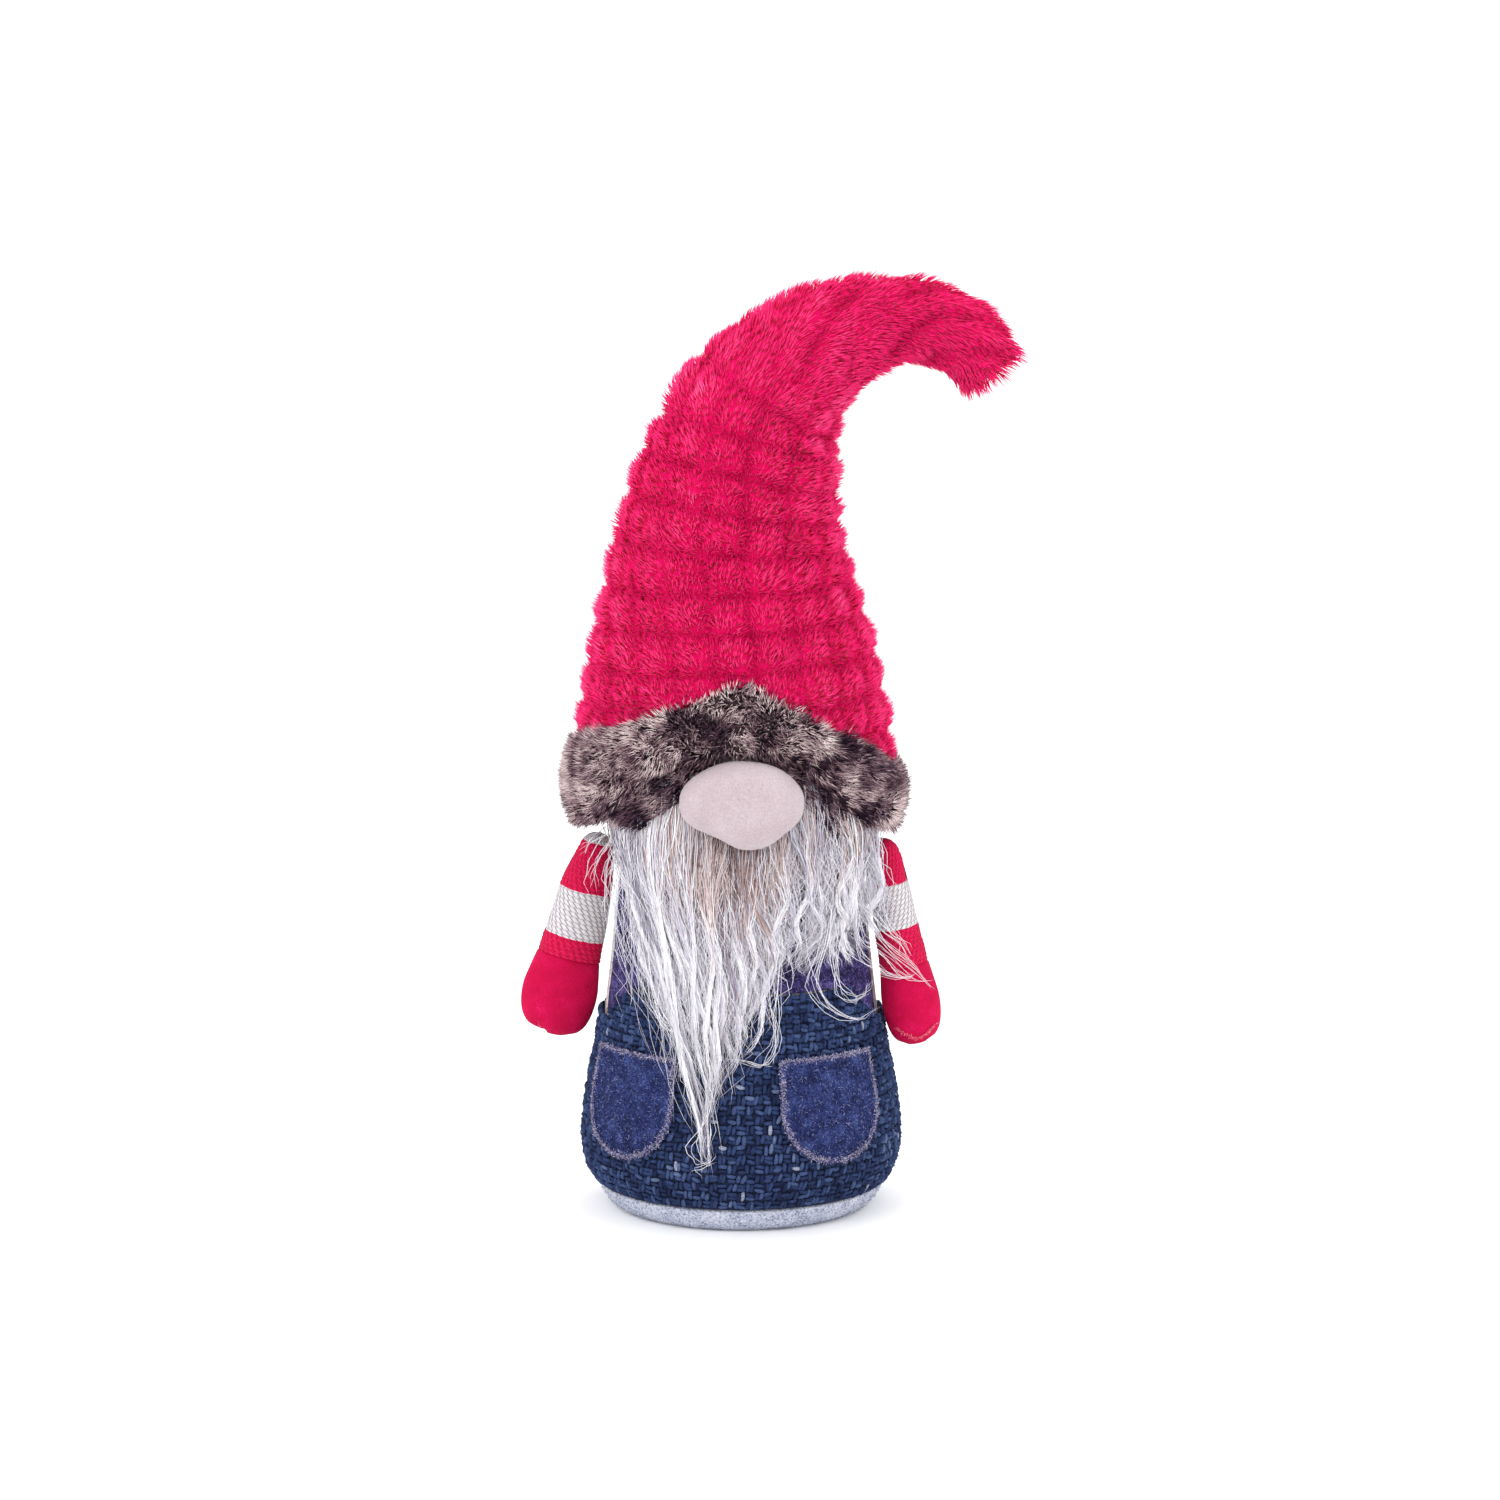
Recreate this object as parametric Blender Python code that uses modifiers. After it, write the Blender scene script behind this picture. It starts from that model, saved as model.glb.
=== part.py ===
"""A tomte gnome figurine: a stuffed round body in woven dungarees, two sewn arms, a long beard,
a big nose, and a tall plush hat with a fur brim and a wired tip that bends.

The origin is on the floor at the middle of the base, +Z is up and the figure faces -Y.
Lengths are in millimetres until a vertex is placed, and angles are in degrees. An azimuth is
measured round the body from the front, positive towards +X. The figure's own left is +X.
"""
from math import cos, hypot, pi, radians, sin, sqrt

import bmesh
import bpy
from mathutils import Matrix, Vector

MM = 0.001
GAP = 0.4

# Body: (height, outer radius) of the woven skirt and of the sweater that goes on up into the hat.
HEM_HEIGHT = 10.4
SKIRT_OUTER = [(HEM_HEIGHT, 56.2), (17.0, 59.6), (28.5, 61.2), (51.0, 58.6), (66.0, 55.6), (92.0, 52.6)]
SWEATER_LOW = 69.0
SWEATER_OUTER = [(60.0, 53.0), (76.0, 51.9), (96.0, 49.6), (108.0, 48.4), (137.0, 45.6), (160.0, 44.8),
                 (174.0, 40.0), (184.0, 28.0), (189.0, 12.0)]
SKIRT_THICKNESS = 1.8
SWEATER_THICKNESS = 1.3
FELT_THICKNESS = 1.6
SKIRT_FRONT_TOP = 91.0
SKIRT_SIDE_TOP = 76.0
BODY_SEGMENTS = 36

# Base: a felt dish on the floor, stiffened by a board, with a bag of pellets above it.
BASE_CONTACT_RADIUS = 47.0
BASE_THICKNESS = 1.6
BASE_TOP = 9.0
BOARD_RADIUS = 44.0
BOARD_THICKNESS = 2.0
BAG_RADIUS = 38.0
BAG_TOP = 24.0

# Dungarees: the felt bib with its two shoulder tabs, and the two patch pockets.
BIB_HALF_ANGLE = 66.0
BIB_TAB_INNER_ANGLE = 52.0
BIB_TOP = 126.0
BIB_TAB_TOP = 150.0
POCKET_TOP = 67.5
POCKET_HEIGHT = 40.5
POCKET_HALF_WIDTH = 22.5
POCKET_AZIMUTHS = {"right_pocket": -46.0, "left_pocket": 37.5}

# Face: the beard's backing and hair, and the nose.
BACKING_HALF_ANGLE = 44.0
BACKING_SPAN = (129.0, 163.0)
BEARD_TOP = 147.0
BEARD_TIP = 26.0
BEARD_TIP_AZIMUTH = -13.0
BEARD_HALF_ANGLE = [(0.0, 54.0), (0.3, 52.0), (0.55, 34.0), (0.8, 15.0), (1.0, 2.5)]
BEARD_THICKNESS = [(0.0, 8.0), (0.4, 7.0), (1.0, 3.5)]
NOSE_CENTRE = (0.4, -61.5, 165.0)
NOSE_HALF_SIZE = (22.8, 14.0, 16.0)
NOSE_SKIN = 1.2
NOSE_BACK_OPENING = 0.72

# Hat: (x, z, half width over the cloth) along its middle line, in two stretches that meet at the
# bend. The pile stands proud of the cloth.
HAT_MOUTH = [(145.0, 56.6), (166.0, 57.0), (182.0, 56.6), (210.0, 52.4)]
HAT_LOWER_LINE = [(-4.0, 220.0, 50.0), (-4.4, 231.0, 47.0), (-4.6, 250.0, 42.0), (-3.0, 268.5, 37.8),
                  (0.6, 286.0, 34.0), (4.6, 300.6, 31.0)]
HAT_TIP_LINE = [(23.9, 325.4, 21.5), (31.5, 331.0, 19.8), (43.0, 335.6, 16.9), (57.6, 338.8, 14.9),
                (70.7, 338.4, 13.3), (83.6, 333.4, 12.2), (92.6, 324.6, 10.0), (97.6, 317.4, 6.6)]
HAT_CLOTH = 3.0
BEND_CENTRE = (14.0, 316.0)
BEND_BALL_RADIUS = 20.6
HAT_SEGMENTS = 28
WIRE_RADIUS = 1.0
WIRE_BORE = 2.2
HEAD_RECESS = [(150.0, 49.6), (166.0, 48.6), (179.0, 43.0), (187.0, 30.0), (191.5, 17.0), (194.0, WIRE_BORE)]
MOUTH_TOP = 210.0
MOUTH_LEVELS = (0.0, 0.3, 0.6, 1.0)
RECESS_LEVELS = (0.0, 0.35, 0.65, 0.85, 1.0)
CLOTH_ABOVE_BRIM_EDGE = 3.0
FILLING_ABOVE_BRIM_EDGE = 6.0

# Brim: (azimuth, height) of the fur band's lower and upper edges. It arches over the nose.
BRIM_CENTRE_X = -2.5
BRIM_LOWER_EDGE = [(-180, 146.5), (-90, 147.0), (-64, 149.0), (-50, 160.0), (-24, 180.5), (0, 183.5),
                   (22, 182.0), (48, 157.0), (62, 148.0), (90, 145.6), (180, 146.5)]
BRIM_UPPER_EDGE = [(-180, 177.0), (-90, 179.0), (-52, 189.0), (-28, 196.0), (-10, 203.0), (4, 207.0),
                   (20, 199.0), (36, 190.0), (52, 184.0), (76, 172.5), (90, 171.0), (180, 177.0)]
BRIM_THICKNESS = 6.0

# Arms: the shoulder's pivot, how far the arm leans out at rest, and its sections along its length as
# (distance from the pivot, half width outwards, half width inwards, half depth).
SHOULDER_HEIGHT = 137.0
SHOULDER_RADIUS = 6.4
ARMS = {
    "right": {"side": -1, "x": 55.2, "y": 4.0, "lean": 14.0, "outer": 1.0, "inner": 1.0},
    "left": {"side": 1, "x": 53.6, "y": -9.0, "lean": 10.4, "outer": 0.79, "inner": 0.74},
}
SLEEVE_SECTIONS = [(0.0, 6.4, 6.4, 6.4), (10.0, 9.2, 8.8, 8.4), (22.0, 10.6, 10.4, 9.2),
                   (42.0, 12.2, 11.8, 9.2)]
MITTEN_SECTIONS = [(42.8, 12.4, 12.0, 9.2), (50.0, 14.0, 13.2, 9.2), (58.0, 15.2, 14.2, 9.0),
                   (66.0, 14.0, 13.4, 8.0), (71.5, 10.2, 10.2, 6.0), (74.5, 4.0, 4.0, 3.0)]
SLEEVE_WALL = 1.2
MITTEN_WALL = 1.4
ARM_SEGMENTS = 20
STITCH_RADIUS = 4.0
STITCH_THICKNESS = 1.0

COLOURS = {
    "red_plush": (0.60, 0.02, 0.07), "brown_fur": (0.14, 0.11, 0.11), "nose_fleece": (0.82, 0.74, 0.74),
    "beard_hair": (0.78, 0.74, 0.76), "beard_backing": (0.55, 0.42, 0.34), "navy_weave": (0.03, 0.05, 0.12),
    "bib_felt": (0.10, 0.09, 0.20), "pocket_felt": (0.05, 0.06, 0.16), "grey_felt": (0.55, 0.55, 0.58),
    "cream_knit": (0.80, 0.78, 0.76), "striped_knit": (0.66, 0.03, 0.07), "red_felt": (0.66, 0.02, 0.07),
    "fibre_fill": (0.90, 0.90, 0.88), "board": (0.45, 0.36, 0.26), "pellet_bag": (0.70, 0.68, 0.60),
    "wire": (0.50, 0.50, 0.52), "thread": (0.55, 0.05, 0.08),
}


def smooth_value(points, position):
    """The value at a position of a smooth line through (position, value) points, held past its ends."""
    if position <= points[0][0]:
        return points[0][1]
    if position >= points[-1][0]:
        return points[-1][1]
    slopes = []
    for index in range(len(points)):
        before, after = points[max(index - 1, 0)], points[min(index + 1, len(points) - 1)]
        slopes.append((after[1] - before[1]) / (after[0] - before[0]))
    index = max(i for i in range(len(points) - 1) if points[i][0] <= position)
    (start, low), (stop, high) = points[index], points[index + 1]
    span = stop - start
    t = (position - start) / span
    return (low * (2 * t**3 - 3 * t**2 + 1) + high * (3 * t**2 - 2 * t**3)
            + span * (slopes[index] * (t**3 - 2 * t**2 + t) + slopes[index + 1] * (t**3 - t**2)))


def smooth_step(position, start, stop):
    """0 before start, 1 after stop, and a smooth rise between."""
    t = min(max((position - start) / (stop - start), 0.0), 1.0)
    return t * t * (3 - 2 * t)


def skirt_outer(height):
    return smooth_value(SKIRT_OUTER, height)


def sweater_outer(height):
    return smooth_value(SWEATER_OUTER, height)


def skirt_top(azimuth):
    """The height of the skirt's upper edge, which dips at the sides and runs level round the back."""
    return SKIRT_FRONT_TOP + (SKIRT_SIDE_TOP - SKIRT_FRONT_TOP) * smooth_step(abs(azimuth), 44.0, 76.0)


def round_body(radius, azimuth, height, centre_x=0.0):
    """The point at a radius and an azimuth round the body's upright axis."""
    angle = radians(azimuth)
    return Vector((centre_x + radius * sin(angle), -radius * cos(angle), height))


def clear_scene():
    for item in list(bpy.data.objects):
        bpy.data.objects.remove(item)


def new_material(name, roughness=0.9, metallic=0.0):
    material = bpy.data.materials.new(name)
    material.use_nodes = True
    shader = material.node_tree.nodes["Principled BSDF"]
    shader.inputs["Base Color"].default_value = (*COLOURS[name], 1.0)
    shader.inputs["Roughness"].default_value = roughness
    shader.inputs["Metallic"].default_value = metallic
    return material


class Gnome:
    """Puts finished shapes into the object's collection, each with its material and its pivot."""

    def __init__(self):
        self.collection = bpy.data.collections.new("tomte_gnome")
        bpy.context.scene.collection.children.link(self.collection)
        self.materials = {name: new_material(name) for name in COLOURS}
        self.materials["wire"] = new_material("wire", roughness=0.4, metallic=0.9)

    def pivot(self, name, place):
        """An empty on a joint's axis, which the pieces that turn with it hang from."""
        empty = bpy.data.objects.new(name, None)
        empty.location = Vector(place) * MM
        self.collection.objects.link(empty)
        return empty

    def add(self, name, data, material, pivot=None):
        data.materials.append(self.materials[material])
        item = bpy.data.objects.new(name, data)
        self.collection.objects.link(item)
        if pivot:
            item.parent = pivot
            item.matrix_parent_inverse = Matrix.Translation(-pivot.location)
        return item

    def from_bmesh(self, name, shape, material, pivot=None, smooth=True):
        """Makes a mesh object of a shape whose vertices are in millimetres."""
        bmesh.ops.scale(shape, vec=(MM, MM, MM), verts=shape.verts)
        bmesh.ops.recalc_face_normals(shape, faces=shape.faces)
        data = bpy.data.meshes.new(name)
        shape.to_mesh(data)
        shape.free()
        if smooth:
            data.shade_smooth()
        return self.add(name, data, material, pivot)


def turned(gnome, name, profile, material, segments=BODY_SEGMENTS, ring=False):
    """Turns a profile of (radius, height) points about Z. A ring's profile closes on itself."""
    shape = bmesh.new()
    line = [shape.verts.new((radius * MM, 0.0, height * MM)) for radius, height in profile]
    for start, stop in zip(line, line[1:]):
        shape.edges.new((start, stop))
    if ring:
        shape.edges.new((line[-1], line[0]))
    data = bpy.data.meshes.new(name)
    shape.to_mesh(data)
    shape.free()
    item = gnome.add(name, data, material)
    screw = item.modifiers.new("Turn", "SCREW")
    screw.steps = segments
    screw.render_steps = segments
    screw.use_merge_vertices = True
    screw.merge_threshold = 0.00001
    screw.use_smooth_shade = True
    return item


def wrapped(gnome, name, columns, rows, place, thickness, material, closed=False):
    """Maps a flat grid onto the body by place(u, v), each 0 to 1, and thickens it outwards."""
    shape = bmesh.new()
    bmesh.ops.create_grid(shape, x_segments=columns, y_segments=rows, size=0.5)
    for vertex in shape.verts:
        vertex.co = place(vertex.co.x + 0.5, vertex.co.y + 0.5)
    if closed:
        bmesh.ops.remove_doubles(shape, verts=shape.verts, dist=0.001)
    item = gnome.from_bmesh(name, shape, material)
    face_out(item)
    solid = item.modifiers.new("Thickness", "SOLIDIFY")
    solid.thickness = thickness * MM
    solid.offset = 1.0
    solid.use_even_offset = True
    return item


def face_out(item):
    """Turns an open sheet's faces away from the body's axis."""
    shape = bmesh.new()
    shape.from_mesh(item.data)
    leaning = sum(face.normal.x * face.calc_center_median().x + face.normal.y * face.calc_center_median().y
                  for face in shape.faces)
    if leaning < 0:
        bmesh.ops.reverse_faces(shape, faces=shape.faces)
    shape.to_mesh(item.data)
    shape.free()


def loft(gnome, name, rings, material, pivot=None, hollow=False):
    """Joins rings of points into a solid. A hollow one's last ring meets its first."""
    shape = bmesh.new()
    loops = [[shape.verts.new(point) for point in ring] for ring in rings]
    pairs = list(zip(loops, loops[1:]))
    if hollow:
        pairs.append((loops[-1], loops[0]))
    for first, second in pairs:
        count = len(first)
        for index in range(count):
            after = (index + 1) % count
            shape.faces.new((first[index], first[after], second[after], second[index]))
    if not hollow:
        shape.faces.new(loops[0])
        shape.faces.new(loops[-1])
    return gnome.from_bmesh(name, shape, material, pivot)


def upright_rings(line, segments):
    """Rings square to a line of (x, z, radius) points that lies in the plane y = 0."""
    rings = []
    for index, (x, z, radius) in enumerate(line):
        before, after = line[max(index - 1, 0)], line[min(index + 1, len(line) - 1)]
        run, rise = after[0] - before[0], after[1] - before[1]
        length = hypot(run, rise)
        across = Vector((rise / length, 0.0, -run / length))
        middle = Vector((x, 0.0, z))
        turns = [2 * pi * step / segments for step in range(segments)]
        rings.append([middle + radius * (cos(turn) * across + sin(turn) * Vector((0, 1, 0)))
                      for turn in turns])
    return rings


def wire(gnome, name, line, pivot=None):
    """A round wire through (x, z) points."""
    data = bpy.data.curves.new(name, "CURVE")
    data.dimensions = "3D"
    data.bevel_depth = WIRE_RADIUS * MM
    data.bevel_resolution = 1
    data.use_fill_caps = True
    spline = data.splines.new("POLY")
    spline.points.add(len(line) - 1)
    for point, (x, z) in zip(spline.points, line):
        point.co = (x * MM, 0.0, z * MM, 1.0)
    gnome.add(name, data, "wire", pivot)


def make_base(gnome):
    """The felt dish that the figure stands on, its board, and the bag of pellets."""
    inside = BASE_CONTACT_RADIUS - BASE_THICKNESS
    turned(gnome, "base_felt", [
        (54.4, BASE_TOP), (53.0, 5.2), (50.6, 1.8), (BASE_CONTACT_RADIUS, 0.0), (0.0, 0.0),
        (0.0, BASE_THICKNESS), (inside, BASE_THICKNESS), (49.2, 3.2), (51.4, 6.0), (52.6, BASE_TOP),
    ], "grey_felt", ring=True)
    board_low = BASE_THICKNESS + GAP
    board_high = board_low + BOARD_THICKNESS
    turned(gnome, "base_board", [
        (0.0, board_high), (BOARD_RADIUS, board_high), (BOARD_RADIUS, board_low), (0.0, board_low)], "board")
    bag_low = board_high + GAP
    turned(gnome, "pellet_bag", [
        (0.0, BAG_TOP), (22.0, BAG_TOP - 1.0), (33.0, BAG_TOP - 4.0), (BAG_RADIUS, BAG_TOP - 9.0),
        (36.5, bag_low + 2.0), (32.0, bag_low), (0.0, bag_low)], "pellet_bag", segments=24)


def make_body(gnome):
    """The fibre filling with its recess for the bag, the sweater and the skirt."""
    under_sweater = [(sweater_outer(z) - SWEATER_THICKNESS - GAP, z)
                     for z in (174, 160, 137, 108, 92, 76, 68)]
    under_skirt = [(skirt_outer(z) - SKIRT_THICKNESS - GAP, z) for z in (64, 51, 28.5, 17.5, 12)]
    turned(gnome, "body_filling", [
        (0.0, 186.6), (12.0, 185.6), (25.0, 181.4), *under_sweater, *under_skirt,
        (50.0, HEM_HEIGHT - 1.6), (46.5, 5.0), (BAG_RADIUS + GAP, 5.0), (BAG_RADIUS + GAP, BAG_TOP - 6.0),
        (BAG_RADIUS - 4.0, BAG_TOP - 2.4), (24.0, BAG_TOP + 0.6), (0.0, BAG_TOP + GAP + 0.4)], "fibre_fill")
    heights = (SWEATER_LOW, 76, 84, 96, 108, 122, 137, 150, 160, 168, 174, 180)
    outside = [(sweater_outer(z), z) for z in heights]
    inside = [(radius - SWEATER_THICKNESS, z) for radius, z in outside]
    turned(gnome, "sweater", [
        (0.0, 189.2), (14.0, 187.9), (27.0, 184.0), *reversed(outside), *inside,
        (24.6, 183.2), (12.0, 187.0), (0.0, 188.0)], "cream_knit", ring=True)

    def skirt_place(u, v):
        azimuth = 360.0 * u - 180.0
        height = HEM_HEIGHT + v * (skirt_top(azimuth) - HEM_HEIGHT)
        return round_body(skirt_outer(height) - SKIRT_THICKNESS, azimuth, height)

    wrapped(gnome, "skirt", BODY_SEGMENTS, 9, skirt_place, SKIRT_THICKNESS, "navy_weave", closed=True)


def make_bib(gnome):
    """One piece of felt across the chest, cut with a tab up each side of the beard."""

    def bib_place(u, v):
        azimuth = BIB_HALF_ANGLE * (2.0 * u - 1.0)
        low = skirt_top(azimuth) + 3.0
        lift = smooth_step(abs(azimuth), BIB_TAB_INNER_ANGLE - 4.0, BIB_TAB_INNER_ANGLE)
        high = BIB_TOP + (BIB_TAB_TOP - BIB_TOP) * lift
        height = low + v * (high - low)
        return round_body(sweater_outer(height) + GAP, azimuth, height)

    wrapped(gnome, "bib", 22, 5, bib_place, FELT_THICKNESS, "bib_felt")


def make_pocket(gnome, name, azimuth):
    """A felt patch with a straight top and a round bottom."""
    straight = POCKET_HEIGHT - POCKET_HALF_WIDTH * 0.9

    def pocket_place(u, v):
        depth = POCKET_HEIGHT * sin(0.5 * pi * v * 0.985) if v > 0 else 0.0
        drop = max(depth - straight, 0.0) / (POCKET_HEIGHT - straight)
        half_width = POCKET_HALF_WIDTH * sqrt(max(1.0 - drop**2.4, 0.01))
        height = POCKET_TOP - depth
        radius = skirt_outer(height) + GAP
        across = (2.0 * u - 1.0) * half_width
        return round_body(radius, azimuth + across / radius * 180.0 / pi, height)

    wrapped(gnome, name, 10, 9, pocket_place, FELT_THICKNESS, "pocket_felt")


def make_beard(gnome):
    """The knitted strip that carries the hair, and the hair as one tapering sheet."""
    low, high = BACKING_SPAN

    def backing_place(u, v):
        height = low + v * (high - low)
        return round_body(sweater_outer(height) + GAP, BACKING_HALF_ANGLE * (2.0 * u - 1.0), height)

    wrapped(gnome, "beard_backing", 10, 4, backing_place, FELT_THICKNESS, "beard_backing")

    def hair_ring(share):
        """One level of the hair: round the front of the body and back, close to it and away from it."""
        height = BEARD_TOP + share * (BEARD_TIP - BEARD_TOP)
        middle = BEARD_TIP_AZIMUTH * share**1.2
        half = smooth_value(BEARD_HALF_ANGLE, share)
        over_chest = sweater_outer(height) + FELT_THICKNESS + 3 * GAP
        over_skirt = skirt_outer(min(height, 92.0)) + 3 * GAP if height < 97.0 else 0.0
        over_pocket = over_skirt + FELT_THICKNESS if height < 70.0 else 0.0
        near = max(over_chest, over_skirt, over_pocket, 54.6) if height < 110.0 else over_chest + 1.0
        thick = smooth_value(BEARD_THICKNESS, share)
        steps = 8
        inner = [round_body(near, middle + half * (2.0 * i / steps - 1.0), height) for i in range(steps + 1)]
        outer = [round_body(near + thick * (0.35 + 0.65 * sin(pi * i / steps)),
                            middle + half * (2.0 * i / steps - 1.0), height) for i in range(steps + 1)]
        return inner + outer[::-1]

    loft(gnome, "beard_hair", [hair_ring(level / 12) for level in range(13)], "beard_hair")


def nose_shape(shrink):
    """A wide oval that hangs lower a little to one side, shrunk all round by a length."""
    shape = bmesh.new()
    bmesh.ops.create_uvsphere(shape, u_segments=24, v_segments=12, radius=1.0)
    half_x, half_y, half_z = (size - shrink for size in NOSE_HALF_SIZE)
    for vertex in shape.verts:
        x, y, z = vertex.co
        droop = 1.0 + 0.10 * max(-z, 0.0) * max(cos((x - 0.1) * 1.6), 0.0) - 0.12 * max(z, 0.0) * abs(x)
        vertex.co = Vector(NOSE_CENTRE) + Vector((half_x * x, half_y * y, half_z * z * droop))
    return shape


def make_nose(gnome):
    """The fleece skin, gathered open at the back, and its filling."""
    skin = nose_shape(NOSE_SKIN)
    limit = NOSE_CENTRE[1] + NOSE_BACK_OPENING * NOSE_HALF_SIZE[1]
    behind = [face for face in skin.faces if face.calc_center_median().y > limit]
    bmesh.ops.delete(skin, geom=behind, context="FACES")
    item = gnome.from_bmesh("nose_skin", skin, "nose_fleece")
    solid = item.modifiers.new("Thickness", "SOLIDIFY")
    solid.thickness = NOSE_SKIN * MM
    solid.offset = 1.0
    gnome.from_bmesh("nose_filling", nose_shape(NOSE_SKIN + GAP + 0.2), "fibre_fill")


def make_hat(gnome, bend):
    """The plush cone in two stretches, each with its filling and wire, about a round bend."""
    lining = [(x, z, radius - HAT_CLOTH) for x, z, radius in HAT_LOWER_LINE]
    outside = mouth_rings(0.0, CLOTH_ABOVE_BRIM_EDGE) + upright_rings(HAT_LOWER_LINE, HAT_SEGMENTS)
    inside = mouth_rings(HAT_CLOTH, CLOTH_ABOVE_BRIM_EDGE) + upright_rings(lining, HAT_SEGMENTS)
    loft(gnome, "hat", outside + inside[::-1], "red_plush", hollow=True)

    bend_x, bend_z = BEND_CENTRE
    last_x, last_z, last_radius = HAT_LOWER_LINE[-1]
    lean = Vector((bend_x - last_x, bend_z - last_z)).normalized()
    ball = []
    for share in (-0.64, -0.34, 0.0, 0.34, 0.64, 0.86, 0.97):
        reach = share * BEND_BALL_RADIUS
        radius = sqrt(BEND_BALL_RADIUS**2 - reach**2)
        ball.append((bend_x + lean.x * reach, bend_z + lean.y * reach, radius))
    core = [(x, z, radius - HAT_CLOTH - GAP) for x, z, radius in HAT_LOWER_LINE] + ball
    bore = [(x, z, WIRE_BORE) for x, z, radius in core]
    outside = mouth_rings(HAT_CLOTH + GAP, FILLING_ABOVE_BRIM_EDGE) + upright_rings(core, HAT_SEGMENTS)
    inside = recess_rings() + upright_rings(bore, HAT_SEGMENTS)
    loft(gnome, "hat_filling", outside + inside[::-1], "fibre_fill", hollow=True)
    wire(gnome, "hat_wire", [(BRIM_CENTRE_X, HEAD_RECESS[-1][0] + 4.0)] + [(x, z) for x, z, radius in core])

    lining = [(x, z, radius - HAT_CLOTH) for x, z, radius in HAT_TIP_LINE]
    outside = upright_rings(HAT_TIP_LINE, HAT_SEGMENTS)
    inside = upright_rings(lining, HAT_SEGMENTS)
    loft(gnome, "hat_tip", outside + inside[::-1], "red_plush", pivot=bend, hollow=True)
    core = upright_rings([(x, z, radius - HAT_CLOTH - GAP) for x, z, radius in HAT_TIP_LINE], HAT_SEGMENTS)
    bore = upright_rings([(x, z, WIRE_BORE) for x, z, radius in HAT_TIP_LINE], HAT_SEGMENTS)
    loft(gnome, "hat_tip_filling", core[1:-1] + bore[1:-1][::-1], "fibre_fill", pivot=bend, hollow=True)
    wire(gnome, "hat_tip_wire", [(x, z) for x, z, radius in HAT_TIP_LINE[1:-1]], pivot=bend)


def brim_low(azimuth):
    return smooth_value(BRIM_LOWER_EDGE, azimuth)


def mouth_azimuth(step):
    """The azimuth of a point on the hat's rings, which start at +X and turn towards the back."""
    return (90.0 + 360.0 * step / HAT_SEGMENTS + 180.0) % 360.0 - 180.0


def mouth_rings(shrink, above):
    """The hat's rings from its arched mouth up to where its rings lie level."""
    rings = []
    for share in MOUTH_LEVELS:
        ring = []
        for step in range(HAT_SEGMENTS):
            azimuth = mouth_azimuth(step)
            low = brim_low(azimuth) + above
            height = low + share * (MOUTH_TOP - low)
            ring.append(round_body(smooth_value(HAT_MOUTH, height) - shrink, azimuth, height, BRIM_CENTRE_X))
        rings.append(ring)
    return rings


def recess_rings():
    """The hollow in the hat's filling that fits over the head."""
    top = HEAD_RECESS[-1][0]
    rings = []
    for share in RECESS_LEVELS:
        ring = []
        for step in range(HAT_SEGMENTS):
            azimuth = mouth_azimuth(step)
            low = brim_low(azimuth) + FILLING_ABOVE_BRIM_EDGE
            height = low + share * (top - low)
            ring.append(round_body(smooth_value(HEAD_RECESS, height), azimuth, height, BRIM_CENTRE_X))
        rings.append(ring)
    return rings


def make_brim(gnome):
    """The fur band round the hat's mouth."""

    def brim_place(u, v):
        azimuth = 360.0 * u - 180.0
        low = brim_low(azimuth)
        height = low + v * (smooth_value(BRIM_UPPER_EDGE, azimuth) - low)
        return round_body(smooth_value(HAT_MOUTH, height) + 2 * GAP, azimuth, height, BRIM_CENTRE_X)

    wrapped(gnome, "brim", 44, 4, brim_place, BRIM_THICKNESS, "brown_fur", closed=True)


def arm_rings(arm, sections, shrink, span=(0.0, 2 * pi), steps=ARM_SEGMENTS):
    """Sections across an arm that hangs from its shoulder and leans outwards."""
    lean = radians(arm["lean"])
    down = Vector((arm["side"] * sin(lean), 0.0, -cos(lean)))
    out = Vector((arm["side"] * cos(lean), 0.0, sin(lean)))
    shoulder = Vector((arm["side"] * arm["x"], arm["y"], SHOULDER_HEIGHT))
    rings = []
    for distance, outer, inner, depth in sections:
        ring = []
        widths = arm_width(arm, distance)
        for step in range(steps):
            turn = span[0] + (span[1] - span[0]) * step / (steps - (span[1] - span[0] < 6.0))
            side_width = outer * widths[0] if cos(turn) > 0 else inner * widths[1]
            across = max(side_width - shrink, 0.5) * cos(turn)
            ring.append(shoulder + down * distance + out * across
                        + Vector((0.0, max(depth - shrink, 0.5) * sin(turn), 0.0)))
        rings.append(ring)
    return rings


def arm_width(arm, distance):
    """How much wider or narrower than its pattern an arm is, outwards and inwards."""
    share = smooth_step(distance, 0.0, 12.0)
    return 1.0 + (arm["outer"] - 1.0) * share, 1.0 + (arm["inner"] - 1.0) * share


def shoulder_dome(radius):
    """Sections of the round top of an arm, about its pivot."""
    dome = []
    for share in (-0.97, -0.8, -0.45):
        width = radius * sqrt(1.0 - share**2)
        dome.append((share * radius, width, width, width))
    return dome


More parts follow.
